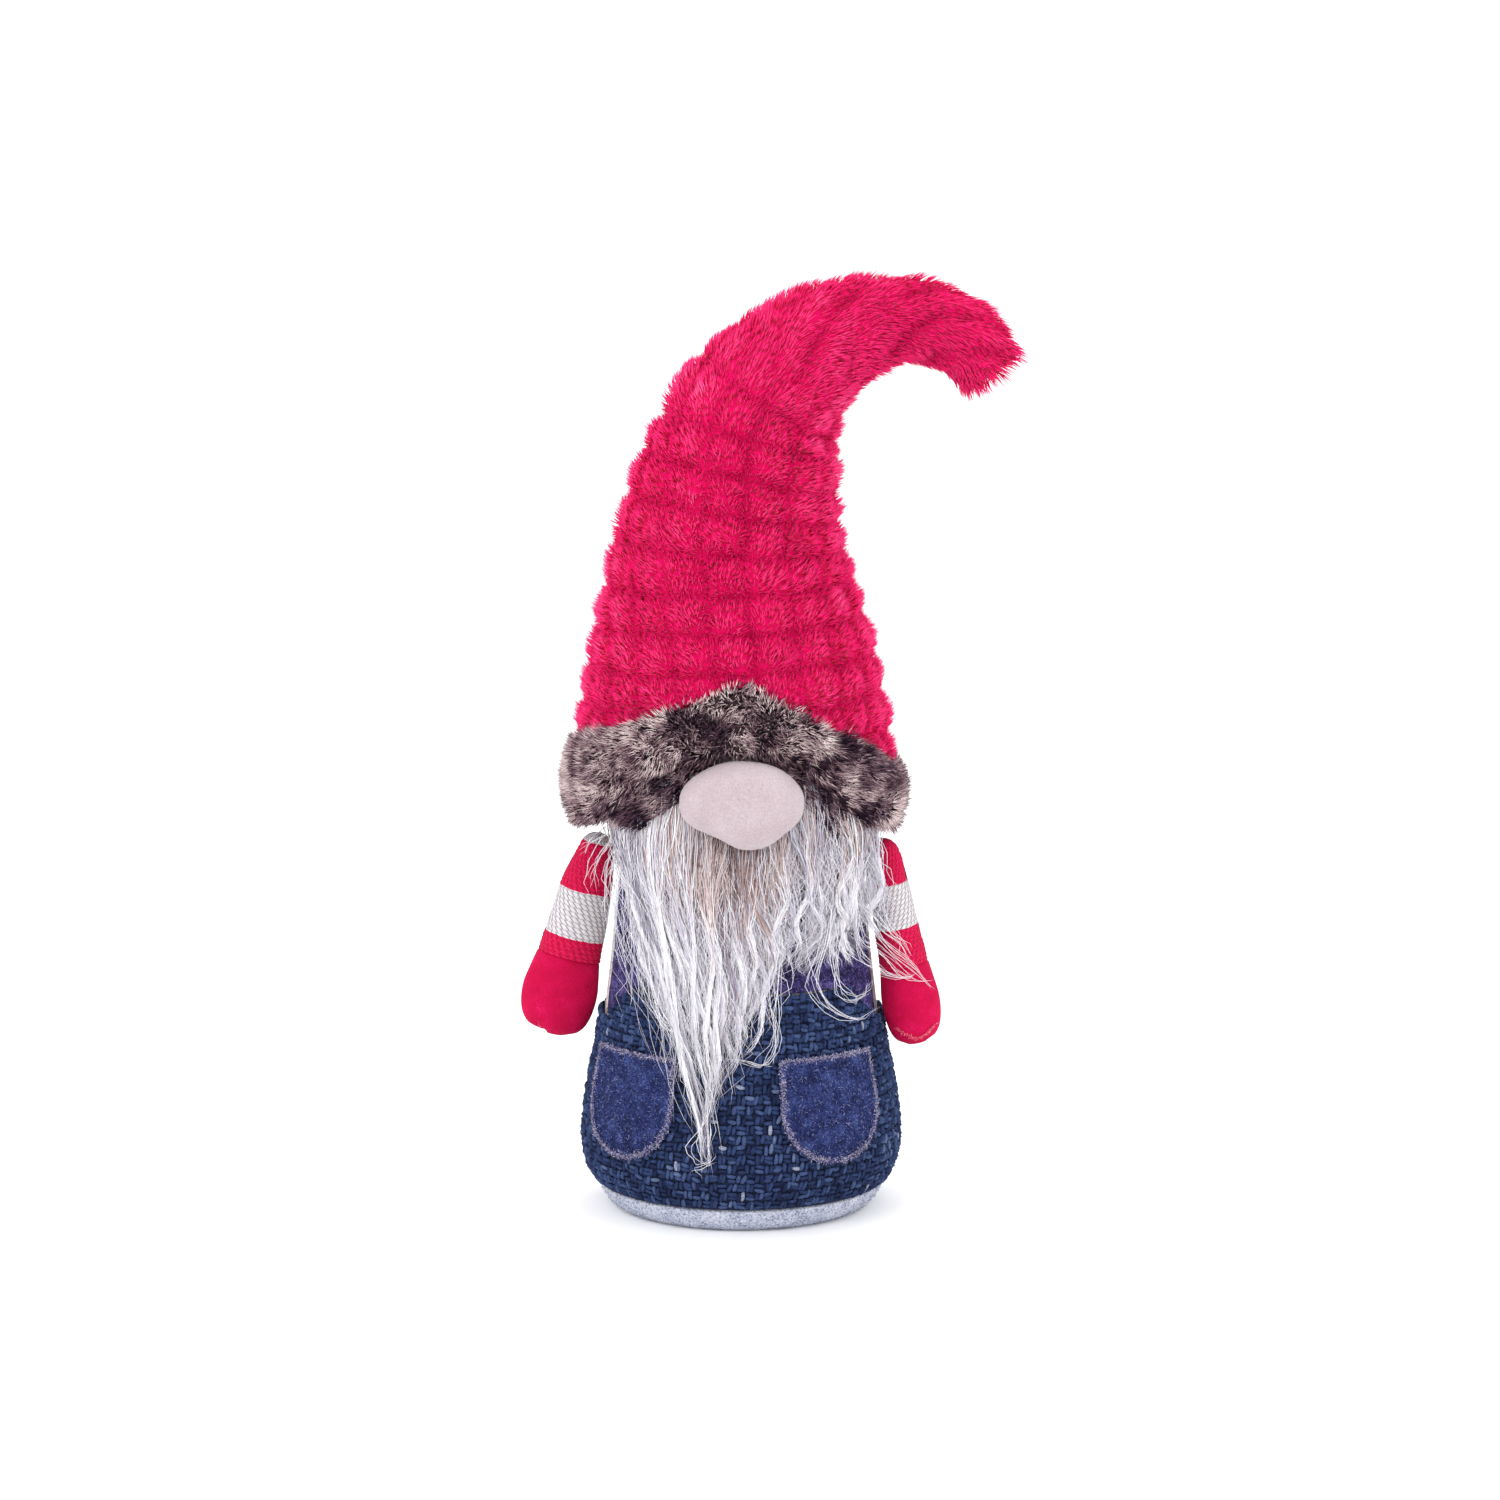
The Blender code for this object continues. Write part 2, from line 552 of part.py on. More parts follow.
def make_arm(gnome, side, arm, pivot):
    """A knitted sleeve, a mitten of two felt halves sewn edge to edge, and the filling."""
    dome = shoulder_dome(SHOULDER_RADIUS)
    outside = arm_rings(arm, dome + SLEEVE_SECTIONS, 0.0)
    inside = arm_rings(arm, dome[1:] + SLEEVE_SECTIONS, SLEEVE_WALL)
    loft(gnome, side + "_sleeve", outside + inside[::-1], "striped_knit", pivot, hollow=True)

    for half, start in (("front", -pi), ("back", 0.0)):
        span = (start + 0.03, start + pi - 0.03)
        outside = arm_rings(arm, MITTEN_SECTIONS, 0.0, span, 11)
        inside = arm_rings(arm, MITTEN_SECTIONS, MITTEN_WALL, span, 11)
        rings = [outer + inner[::-1] for outer, inner in zip(outside, inside)]
        loft(gnome, f"{side}_mitten_{half}", rings, "red_felt", pivot)

    core = [*SLEEVE_SECTIONS, *MITTEN_SECTIONS[1:5]]
    loft(gnome, side + "_arm_filling", arm_rings(arm, core, MITTEN_WALL + GAP + 0.1), "fibre_fill", pivot)


def make_stitches(gnome, side, arm):
    """The pad of stitches that ties an arm to the body."""
    reach = arm["x"] - SHOULDER_RADIUS - GAP - STITCH_THICKNESS / 2
    shape = bmesh.new()
    bmesh.ops.create_cone(shape, cap_ends=True, segments=16, radius1=STITCH_RADIUS, radius2=STITCH_RADIUS,
                          depth=STITCH_THICKNESS)
    bmesh.ops.rotate(shape, matrix=Matrix.Rotation(pi / 2, 3, "Y"), verts=shape.verts)
    bmesh.ops.translate(shape, vec=(arm["side"] * reach, arm["y"], SHOULDER_HEIGHT), verts=shape.verts)
    gnome.from_bmesh(side + "_shoulder_stitches", shape, "thread", smooth=False)


def main():
    clear_scene()
    gnome = Gnome()
    make_base(gnome)
    make_body(gnome)
    make_bib(gnome)
    for name, azimuth in POCKET_AZIMUTHS.items():
        make_pocket(gnome, name, azimuth)
    make_beard(gnome)
    make_nose(gnome)
    bend = gnome.pivot("hat_bend", (BEND_CENTRE[0], 0.0, BEND_CENTRE[1]))
    make_hat(gnome, bend)
    make_brim(gnome)
    for side, arm in ARMS.items():
        pivot = gnome.pivot(side + "_shoulder", (arm["side"] * arm["x"], arm["y"], SHOULDER_HEIGHT))
        make_stitches(gnome, side, arm)
        make_arm(gnome, side, arm, pivot)


main()
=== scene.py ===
from math import cos, pi, radians, sin

import bmesh
import bpy
import numpy as np
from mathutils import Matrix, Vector


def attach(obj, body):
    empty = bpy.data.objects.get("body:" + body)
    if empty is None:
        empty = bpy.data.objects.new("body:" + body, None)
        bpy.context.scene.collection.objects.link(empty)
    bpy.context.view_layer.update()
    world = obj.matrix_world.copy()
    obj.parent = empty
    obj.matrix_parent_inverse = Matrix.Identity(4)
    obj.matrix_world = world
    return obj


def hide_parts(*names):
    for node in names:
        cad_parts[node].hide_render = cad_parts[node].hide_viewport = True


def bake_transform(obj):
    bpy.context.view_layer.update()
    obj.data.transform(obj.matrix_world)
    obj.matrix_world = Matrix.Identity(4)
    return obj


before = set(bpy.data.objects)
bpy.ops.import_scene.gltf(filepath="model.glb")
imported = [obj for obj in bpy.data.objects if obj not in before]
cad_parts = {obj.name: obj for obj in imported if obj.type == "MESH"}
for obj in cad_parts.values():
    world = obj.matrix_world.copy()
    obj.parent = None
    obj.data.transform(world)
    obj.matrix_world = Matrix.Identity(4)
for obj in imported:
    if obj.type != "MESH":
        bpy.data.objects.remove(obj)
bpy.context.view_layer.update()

# A plush tomte. Work is in millimetres and is written to the meshes in metres.
# The figure faces -Y. An azimuth is in degrees round the body from the front, positive towards +X.
mm = 0.001


# lines, noise and places

def smoothLine(points, where):  # points are (position, value, ...) rows
    knots = np.array(points, float)
    xs, ys = knots[:, 0], knots[:, 1:]
    where = np.clip(np.asarray(where, float), xs[0], xs[-1])
    slopes = np.gradient(ys, axis=0) / np.gradient(xs)[:, None]
    index = np.clip(np.searchsorted(xs, where, side="right") - 1, 0, len(xs) - 2)
    span = (xs[index + 1] - xs[index])[..., None]
    t = (where - xs[index])[..., None] / span
    value = (ys[index] * (2 * t**3 - 3 * t**2 + 1) + ys[index + 1] * (3 * t**2 - 2 * t**3)
             + span * (slopes[index] * (t**3 - 2 * t**2 + t) + slopes[index + 1] * (t**3 - t**2)))
    return value[..., 0] if value.shape[-1] == 1 else value


def smoothStep(value, start, stop):
    t = np.clip((value - start) / (stop - start), 0.0, 1.0)
    return t * t * (3 - 2 * t)


def lumps(places, size, seed):  # smooth noise from 0 to 1, with lumps of about that size
    grid = np.random.default_rng(seed).random((32, 32, 32))
    scaled = np.asarray(places, float) / size
    cell = np.floor(scaled).astype(int)
    t = scaled - cell
    t = t * t * (3 - 2 * t)
    total = 0.0
    for step in np.ndindex(2, 2, 2):
        weight = np.prod(np.where(np.array(step) == 1, t, 1 - t), axis=-1)
        corner = (cell + step) % 32
        total = total + weight * grid[corner[..., 0], corner[..., 1], corner[..., 2]]
    return total


def threeLumps(places, size, seed):  # a smooth noise for each axis, from -0.5 to 0.5
    return stack(*(lumps(places, size, seed + axis) for axis in range(3))) - 0.5


def stack(*parts):
    return np.stack(np.broadcast_arrays(*parts), axis=-1).astype(float)


def roundPlace(azimuth, height, radius, centreX=0.0):
    turn = np.radians(azimuth)
    return stack(centreX + radius * np.sin(turn), -radius * np.cos(turn), height)


def outWay(azimuth):
    return roundPlace(azimuth, 0.0, 1.0)


def roundWay(azimuth):
    return stack(np.cos(np.radians(azimuth)), np.sin(np.radians(azimuth)), 0.0)


def unit(vectors):
    return vectors / np.maximum(np.linalg.norm(vectors, axis=-1, keepdims=True), 1e-9)


# mesh tools

def deselect():
    if bpy.context.object and bpy.context.object.mode != "OBJECT":
        bpy.ops.object.mode_set(mode="OBJECT")
    bpy.ops.object.select_all(action="DESELECT")


def named(name, finishes):
    piece = bpy.context.object
    piece.name = piece.data.name = name
    for finish in finishes:
        piece.data.materials.append(finish.material)
    return piece


def readPlaces(piece):
    flat = np.empty(len(piece.data.vertices) * 3, np.float32)
    piece.data.vertices.foreach_get("co", flat)
    return flat.reshape(-1, 3).astype(float) / mm


def writePlaces(piece, places):
    piece.data.vertices.foreach_set("co", (np.asarray(places) * mm).astype(np.float32).ravel())
    piece.data.update()


def closeUp():  # joins the active piece's seams and poles, then turns the faces out
    bpy.ops.object.mode_set(mode="EDIT")
    bpy.ops.mesh.select_all(action="SELECT")
    bpy.ops.mesh.remove_doubles(threshold=0.002 * mm)
    bpy.ops.mesh.normals_make_consistent(inside=False)
    bpy.ops.object.mode_set(mode="OBJECT")
    bpy.ops.object.shade_smooth()


def turnOut(piece, capped=False):  # turns the faces out, after closing the open ends if asked
    deselect()
    bpy.context.view_layer.objects.active = piece
    piece.select_set(True)
    bpy.ops.object.mode_set(mode="EDIT")
    if capped:
        bpy.ops.mesh.select_all(action="DESELECT")
        bpy.ops.mesh.select_non_manifold()
        bpy.ops.mesh.edge_face_add()
    bpy.ops.mesh.select_all(action="SELECT")
    bpy.ops.mesh.normals_make_consistent(inside=False)
    bpy.ops.object.mode_set(mode="OBJECT")


def addCloth(name, across, along, place, finishes, thickness=None):
    # a grid of cloth laid by place(u, v), both from 0 to 1, and thickened inwards if it is open
    deselect()
    bpy.ops.mesh.primitive_grid_add(x_subdivisions=across, y_subdivisions=along, size=1)
    piece = named(name, finishes)
    flat = readPlaces(piece) * mm + 0.5
    writePlaces(piece, place(flat[:, 0], flat[:, 1]))
    closeUp()
    if thickness:
        wall = piece.modifiers.new("Thickness", "SOLIDIFY")
        wall.thickness, wall.offset = thickness * mm, -1.0
        bpy.ops.object.modifier_apply(modifier=wall.name)
    return piece


def ringFaces(first, sides):  # the faces between a ring of corners and the next ring
    faces = []
    for j in range(sides):
        a, b = first + j, first + (j + 1) % sides
        faces += [(a, b, b + sides), (a, b + sides, a + sides)]
    return faces


def tipFaces(first, sides):  # the faces between the last ring and its end point
    return [(first + j, first + (j + 1) % sides, first + sides) for j in range(sides)]


def growHair(name, paths, widths, shades, finishes, seed=1):
    # closed tapering hairs, from paths (hair, point, xyz), the half widths at all but the last point
    # and the number of a finish for each segment
    paths = np.asarray(paths, float)
    hairs, points = paths.shape[:2]
    rings = points - 1
    along = unit(np.gradient(paths, axis=1))
    lean = unit(np.random.default_rng(seed).normal(size=(hairs, 1, 3)))
    side = unit(np.cross(along, np.broadcast_to(lean, along.shape)))
    other = np.cross(along, side)
    widths = np.broadcast_to(widths, (hairs, rings))
    turns = np.arange(3) * 2 * pi / 3
    spokes = side[:, :rings, None] * np.cos(turns)[:, None] + other[:, :rings, None] * np.sin(turns)[:, None]
    tube = paths[:, :rings, None] + spokes * widths[..., None, None]
    places = np.concatenate([tube.reshape(hairs, -1, 3), paths[:, -1:]], axis=1)
    corners, segment = [(2, 1, 0)], [0]
    for ring in range(rings - 1):
        corners += ringFaces(ring * 3, 3)
        segment += [ring] * 6
    corners += tipFaces((rings - 1) * 3, 3)
    segment += [rings - 1] * 3
    faces = np.array(corners)[None] + (np.arange(hairs) * (rings * 3 + 1))[:, None, None]
    shades = np.clip(np.broadcast_to(shades, (hairs, rings)), 0, len(finishes) - 1)
    return meshFrom(name, places.reshape(-1, 3), faces.reshape(-1, 3), shades[:, segment].ravel(), finishes)


def meshFrom(name, places, triangles, slots, finishes):
    mesh = bpy.data.meshes.new(name)
    mesh.vertices.add(len(places))
    mesh.vertices.foreach_set("co", (places * mm).astype(np.float32).ravel())
    mesh.loops.add(len(triangles) * 3)
    mesh.loops.foreach_set("vertex_index", triangles.astype(np.int32).ravel())
    mesh.polygons.add(len(triangles))
    mesh.polygons.foreach_set("loop_start", np.arange(0, len(triangles) * 3, 3, dtype=np.int32))
    for finish in finishes:
        mesh.materials.append(finish.material)
    mesh.polygons.foreach_set("material_index", np.asarray(slots, np.int32))
    mesh.update(calc_edges=True)
    mesh.shade_smooth()
    piece = bpy.data.objects.new(name, mesh)
    bpy.context.scene.collection.objects.link(piece)
    return piece


def bendHair(roots, starts, ends, lengths, points=3):
    # hair paths that leave along starts and turn towards ends
    share = np.linspace(0, 1, points)[None, :, None]
    heading = starts[:, None] * (1 - 0.5 * share) + ends[:, None] * 0.5 * share
    return roots[:, None] + heading * share * np.asarray(lengths)[:, None, None]


# finishes

def mathNode(operation, swapped=False):
    def combined(self, other):
        values = (other, self) if swapped else (self, other)
        return self.finish.maths(operation, *values)
    return combined


class Link:  # a node's output, on which Python's operators add Math nodes
    def __init__(self, finish, socket):
        self.finish = finish
        self.socket = socket

    def also(self, output):
        return Link(self.finish, self.socket.node.outputs[output])

    __add__ = mathNode("ADD")
    __sub__ = mathNode("SUBTRACT")
    __rsub__ = mathNode("SUBTRACT", swapped=True)
    __mul__ = mathNode("MULTIPLY")
    __truediv__ = mathNode("DIVIDE")
    __gt__ = mathNode("GREATER_THAN")
    __lt__ = mathNode("LESS_THAN")


def tone(red, green, blue):  # a screen colour from 0 to 255, as the shader wants it
    values = np.array([red, green, blue]) / 255.0
    linear = np.where(values <= 0.04045, values / 12.92, ((values + 0.055) / 1.055) ** 2.4)
    return (*linear.tolist(), 1.0)


class Finish:
    def __init__(self, name, colour, **sockets):
        self.material = bpy.data.materials.new(name)
        self.material.use_nodes = True
        self.tree = self.material.node_tree
        self.shader = self.tree.nodes["Principled BSDF"]
        self.feed("Base Color", colour)
        self.feed("Roughness", 0.9)
        self.feed("Specular IOR Level", 0.15)
        for socket, value in sockets.items():
            self.feed(socket.replace("_", " "), value)

    def feed(self, socket, value):
        self.join(self.shader.inputs[socket], value)

    def join(self, socket, value):
        if isinstance(value, Link):
            self.tree.links.new(value.socket, socket)
        else:
            socket.default_value = value

    def node(self, kind, settings, values, output=0):
        made = self.tree.nodes.new(kind)
        for key, value in settings.items():
            if key == "stops":
                ramp = made.color_ramp.elements
                while len(ramp) < len(value):
                    ramp.new(0.5)
                for stop, (place, colour) in zip(ramp, value):
                    stop.position, stop.color = place, colour
            else:
                setattr(made, key, value)
        for key, value in values.items():
            self.join(made.inputs[key], value)
        return Link(self, made.outputs[output])

    def maths(self, operation, *values):
        return self.node("ShaderNodeMath", {"operation": operation}, dict(enumerate(values)))

    def place(self):
        return self.node("ShaderNodeTexCoord", {}, {}, "Object")

    def laid(self):  # the piece's own flat pattern, as (u, v)
        return self.node("ShaderNodeTexCoord", {}, {}, "UV")

    def stretched(self, vector, scale):
        return self.node("ShaderNodeMapping", {}, {"Vector": vector, "Scale": scale})

    def noise(self, size, vector=None, detail=3.0):
        return self.node("ShaderNodeTexNoise", {}, {
            "Vector": vector or self.place(), "Scale": 1 / (size * mm), "Detail": detail})

    def ramp(self, factor, *stops):
        return self.node("ShaderNodeValToRGB", {"stops": stops}, {"Fac": factor})

    def mix(self, factor, first, second):
        return self.node("ShaderNodeMix", {"data_type": "RGBA"}, {0: factor, 6: first, 7: second}, 2)

    def bump(self, height, depth, strength=1.0):
        self.feed("Normal", self.node("ShaderNodeBump", {}, {
            "Height": height, "Distance": depth * mm, "Strength": strength}))


def shadeRow(name, count, *stops, **sockets):  # plain finishes in even steps along a line of tones
    rows = smoothLine(stops, np.linspace(0, 1, count))
    return [Finish(f"{name}{i + 1}", tone(*np.clip(row, 0, 255)), **sockets) for i, row in enumerate(rows)]


def pickShades(bright, tones):  # the number of a tone for each brightness from 0 to 1
    return np.floor(np.clip(bright, 0, 0.999) * len(tones)).astype(int)


# camera, light and floor

view = {"distance": 1.8, "target": (0.0034, 0.0, 0.1755), "elevation": 9.0, "width": 0.570, "sensor": 36.0}
lighting = {
    "world": 1.35,
    # each light's place, size and power
    "keyLight": ((-0.9, -1.3, 1.3), 1.0, 9.0),
    "fillLight": ((1.2, -1.1, 0.8), 1.2, 4.0),
    "topLight": ((0.1, 0.5, 1.7), 1.2, 6.5),
    "aim": (0, 0, 0.17),
}


def setStage():
    scene = bpy.context.scene
    scene.view_settings.view_transform = "Standard"
    tilt = radians(view["elevation"])
    back = view["distance"] * Vector((0, -cos(tilt), sin(tilt)))
    bpy.ops.object.camera_add(location=Vector(view["target"]) + back, rotation=(pi / 2 - tilt, 0, 0))
    camera = bpy.context.object
    camera.data.sensor_width = view["sensor"]
    camera.data.lens = view["sensor"] * view["distance"] / view["width"]
    scene.camera = camera

    world = bpy.data.worlds.new("paleRoom")
    scene.world = world
    world.use_nodes = True
    background = world.node_tree.nodes["Background"]
    background.inputs["Color"].default_value = (1, 1, 1, 1)
    background.inputs["Strength"].default_value = lighting["world"]
    for name in ("keyLight", "fillLight", "topLight"):
        place, size, power = lighting[name]
        heading = Vector(lighting["aim"]) - Vector(place)
        turn = heading.to_track_quat("-Z", "Y").to_euler()
        bpy.ops.object.light_add(type="AREA", location=place, rotation=turn)
        lamp = bpy.context.object
        lamp.name = name
        lamp.data.size = size
        lamp.data.energy = power

    paper = Finish("palePaper", tone(253, 253, 253), Roughness=1.0)
    deselect()
    bpy.ops.mesh.primitive_plane_add(size=60)
    floor = named("floor", [paper])


setStage()
print("stage set")


# body: base, skirt, sweater

body = {
    # (height, radius) of the cloth, from the bottom up
    "skirt": [(10.4, 56.2), (17, 59.6), (28.5, 61.2), (51, 58.6), (66, 55.6), (92, 52.6)],
    "sweater": [(60, 53), (76, 51.9), (96, 49.6), (108, 48.4), (137, 45.6), (160, 44.8), (174, 40), (184, 28),
                (189, 12)],
    "hem": 10.4, "frontTop": 91.0, "sideTop": 76.0,
}


def skirtRadius(height):
    return smoothLine(body["skirt"], height)


def sweaterRadius(height):
    return smoothLine(body["sweater"], height)


def skirtTop(azimuth):
    return body["frontTop"] + (body["sideTop"] - body["frontTop"]) * smoothStep(np.abs(azimuth), 44.0, 76.0)


def bodyRadius(azimuth, height):  # what the beard lies on
    onSkirt = smoothStep(height, skirtTop(azimuth) + 3, skirtTop(azimuth) - 1)
    return onSkirt * skirtRadius(height) + (1 - onSkirt) * (sweaterRadius(height) + 1.6)


base = {"contact": 47.0, "radius": 54.3, "top": 9.0, "rough": 0.5, "fuzz": 2600, "fuzzLength": 1.4}


def makeBase():
    felt = Finish("greyFelt", (0.5, 0.5, 0.5, 1))
    speck = felt.noise(0.9, detail=4.0)
    cloud = felt.noise(6.0)
    felt.feed("Base Color", felt.ramp(
        speck + (cloud - 0.5) * 0.35, (0.30, tone(104, 110, 134)), (0.42, tone(156, 162, 184)),
        (0.56, tone(190, 194, 208)), (0.72, tone(214, 216, 224))))
    felt.bump(speck, 0.5)
    profile = [(0, 0, 0.0), (0.40, base["contact"] - 3, 0.0), (0.52, base["contact"] + 0.4, 0.5),
               (0.66, 50.8, 2.6), (0.8, 53.2, 6.0), (0.88, base["radius"], base["top"]),
               (1.0, 50.0, base["top"] + 0.6)]  # (share of the way, radius, height)

    def place(u, v):
        line = smoothLine(profile, v)
        uneven = lumps(roundPlace(u * 360, line[:, 1], line[:, 0]), 3.0, 3) - 0.5
        rough = base["rough"] * uneven * smoothStep(v, 0.5, 0.7)
        return roundPlace(u * 360 - 180, np.maximum(line[:, 1], 0.0), np.maximum(line[:, 0] + rough, 0.0))

    piece = addCloth("baseFelt", 160, 30, place, [felt], thickness=1.2)
    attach(piece, "root")
    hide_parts("base_felt")

    rng = np.random.default_rng(11)
    azimuth = rng.uniform(-180, 180, base["fuzz"])
    at = rng.uniform(0.53, 0.86, base["fuzz"])
    line = smoothLine(profile, at)
    roots = roundPlace(azimuth, line[:, 1], line[:, 0] - 0.3)
    out = outWay(azimuth)
    ends = unit(out * 0.4 + rng.normal(size=roots.shape) * 0.7)
    lengths = rng.uniform(0.5, 1, base["fuzz"]) * base["fuzzLength"]
    paths = bendHair(roots, unit(out + 0.3 * ends), ends, lengths)
    paths[..., 2] = np.maximum(paths[..., 2], 0.15)
    fuzz = growHair("baseFuzz", paths, [0.13, 0.10], rng.integers(0, 4, (base["fuzz"], 1)),
                    shadeRow("greyFuzz", 4, (0, 124, 130, 154), (0.5, 178, 182, 200), (1, 222, 224, 232)))
    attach(fuzz, "root")


weave = {
    "across": 110, "rows": 22, "long": 4.5, "wide": 0.86, "high": 0.8, "pair": 1.62, "sides": 5,
    # the darkest and lightest tone of each yarn; the last is a pale fleck
    "tones": [((18, 25, 52), (32, 44, 80)), ((23, 32, 62), (44, 59, 98)),
              ((30, 41, 76), (55, 72, 114)), ((42, 55, 92), (74, 92, 134)),
              ((60, 74, 112), (104, 120, 156)), ((90, 98, 128), (166, 174, 194))],
    "steps": [0.2, 0.45, 0.7, 0.86], "flecks": 0.012,
}


def makeSkirtGround():
    ground = Finish("navyGround", tone(16, 22, 44))
    threads = ground.ramp(ground.noise(2.0), (0.3, tone(10, 14, 32)), (0.7, tone(30, 40, 72)))
    ground.feed("Base Color", threads)
    # (v, share of the height, inset), up the outside and down the inside
    profile = np.array([(0.0, 0.0, -0.9), (0.5, 1.0, -0.9), (0.52, 1.0, -1.9), (0.98, 0.0, -2.0),
                        (1.0, 0.0, -0.9)])

    def place(u, v):
        azimuth = u * 360 - 180
        share = np.interp(v, profile[:, 0], profile[:, 1])
        inset = np.interp(v, profile[:, 0], profile[:, 2])
        height = body["hem"] - 0.4 + (skirtTop(azimuth) - body["hem"] - 0.3) * share
        return roundPlace(azimuth, height, skirtRadius(height) + inset)

    piece = addCloth("skirtGround", 180, 72, place, [ground])
    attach(piece, "root")
    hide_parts("skirt")


def navyYarns():
    yarns = []
    for i, (dark, light) in enumerate(weave["tones"]):
        strand = Finish(f"navyYarn{i + 1}", tone(*dark))
        fibre = strand.noise(0.45, detail=2.0)
        strand.feed("Base Color", strand.ramp(fibre, (0.3, tone(*dark)), (0.7, tone(*light))))
        strand.bump(fibre, 0.25)
        yarns.append(strand)
    return yarns


def makeSkirtYarn():  # a basket weave, upright and level floats by turns, each of two yarns side by side
    rng = np.random.default_rng(21)
    column, row = np.meshgrid(np.arange(weave["across"]), np.arange(weave["rows"]))
    column, row = np.repeat(column.ravel(), 2), np.repeat(row.ravel(), 2)
    second = np.tile([-0.5, 0.5], column.size // 2) * weave["pair"]
    upright = (column + row) % 2 == 0
    shift = np.where(upright, second, 0) * 0.98
    rise = np.where(upright, 0, second)
    azimuth = column * 360 / weave["across"] - 180 + rng.normal(0, 0.22, column.size) + shift
    pitch = (body["frontTop"] - body["hem"]) / weave["rows"]
    height = body["hem"] + (row + 0.5) * pitch + rng.normal(0, 0.22, column.size) + rise
    keep = height < skirtTop(azimuth) + 0.4
    azimuth, height, upright = azimuth[keep], height[keep], upright[keep]
    count = height.size
    uprightLean = radians(80) + rng.normal(0, 0.17, count)
    levelLean = radians(-8) + rng.normal(0, 0.17, count)
    lean = np.where(upright, uprightLean, levelLean)
    half = weave["long"] / 2 * rng.uniform(0.8, 1.1, count)
    rings = [(-0.62, 0.8), (0.0, 1.0), (0.62, 0.8)]  # (share of the half length, swell)
    sides = weave["sides"]
    turns = np.arange(sides) * 2 * pi / sides + pi / 2
    radius = skirtRadius(height) - 0.75

    def spot(share, sideways, lift):
        reach = share * half
        x = np.cos(lean) * reach - np.sin(lean) * sideways
        z = height + np.sin(lean) * reach + np.cos(lean) * sideways
        return roundPlace(azimuth + np.degrees(x / radius), z, skirtRadius(z) - 0.95 + lift)

    width = weave["wide"] * rng.uniform(0.88, 1.1, count)
    tall = weave["high"] * rng.uniform(0.7, 1.45, count)
    points = [spot(-1.0, 0.0, 0.0)]
    for share, size in rings:
        for turn in turns:
            points.append(spot(share, width * size * cos(turn), tall * size * (0.62 + sin(turn))))
    points.append(spot(1.0, 0.0, 0.0))
    places = np.stack(points, axis=1)
    corners = [(0, 1 + (j + 1) % sides, 1 + j) for j in range(sides)]
    for ring in range(len(rings) - 1):
        corners += ringFaces(1 + ring * sides, sides)
    corners += tipFaces(1 + (len(rings) - 1) * sides, sides)
    faces = np.array(corners)[None] + (np.arange(count) * len(points))[:, None, None]
    tint = rng.random(count) * 0.75 + 0.25 * lumps(roundPlace(azimuth, height, 60.0), 9.0, 5)
    slots = np.digitize(tint, weave["steps"])
    fleck = rng.random(count) < weave["flecks"]
    slots = np.repeat(np.where(fleck, len(weave["tones"]) - 1, slots), len(corners))
    floats = meshFrom("skirtYarn", places.reshape(-1, 3), faces.reshape(-1, 3), slots, navyYarns())
    turnOut(floats)
    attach(floats, "root")


sweater = {"low": 71.0, "top": 189.0, "waist": 48.0, "rib": 2.6, "depth": 0.5}


def makeSweater():
    cream = Finish("creamKnit", tone(225, 222, 218))
    stitch = cream.noise(1.1, cream.stretched(cream.place(), (1.0, 1.0, 1.6)), 2.0)
    cream.feed("Base Color", cream.ramp(stitch * 0.6 + cream.noise(1.2) * 0.4, (0.2, tone(150, 146, 148)),
                                        (0.55, tone(204, 200, 197)), (0.9, tone(222, 219, 216))))
    cream.bump(stitch, 0.4)
    ribs = round(2 * pi * sweater["waist"] / sweater["rib"])
    low, top = sweater["low"], sweater["top"]
    turnsAt = [0, 0.02, 0.5, 0.52, 1]  # up the outside, then down the inside

    def place(u, v):
        height = np.interp(v, turnsAt, [low - 1, low, top, top - 1, low - 1])
        inner = np.interp(v, turnsAt, [0.9, 0.0, 0.0, 0.9, 0.9])
        radius = sweaterRadius(height) - 0.3
        wave = sweater["depth"] * np.cos(u * 2 * pi * ribs) * smoothStep(radius, 10, 40)
        return roundPlace(u * 360 - 180, height, np.maximum(radius - inner + wave * (inner == 0), 0.5))

    piece = addCloth("sweaterKnit", ribs * 4, 72, place, [cream])
    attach(piece, "root")
    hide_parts("sweater")


makeBase()
makeSkirtGround()
makeSkirtYarn()
makeSweater()
print("body made")


# dungarees: bib and pockets

bib = {"half": 72.0, "tabInner": 52.0, "top": 126.0, "tabTop": 150.0, "stand": 1.7, "lint": 2900}


def feltFinish(name, dark, mid, light):
    felt = Finish(name, tone(*mid))
    fibre = felt.noise(0.8, detail=4.0)
    cloud = felt.noise(5.0, detail=2.0)
    felt.feed("Base Color", felt.ramp(fibre * 0.6 + cloud * 0.4, (0.36, tone(*dark)), (0.5, tone(*mid)),
                                      (0.64, tone(*light))))
    felt.bump(fibre, 0.4)
    return felt


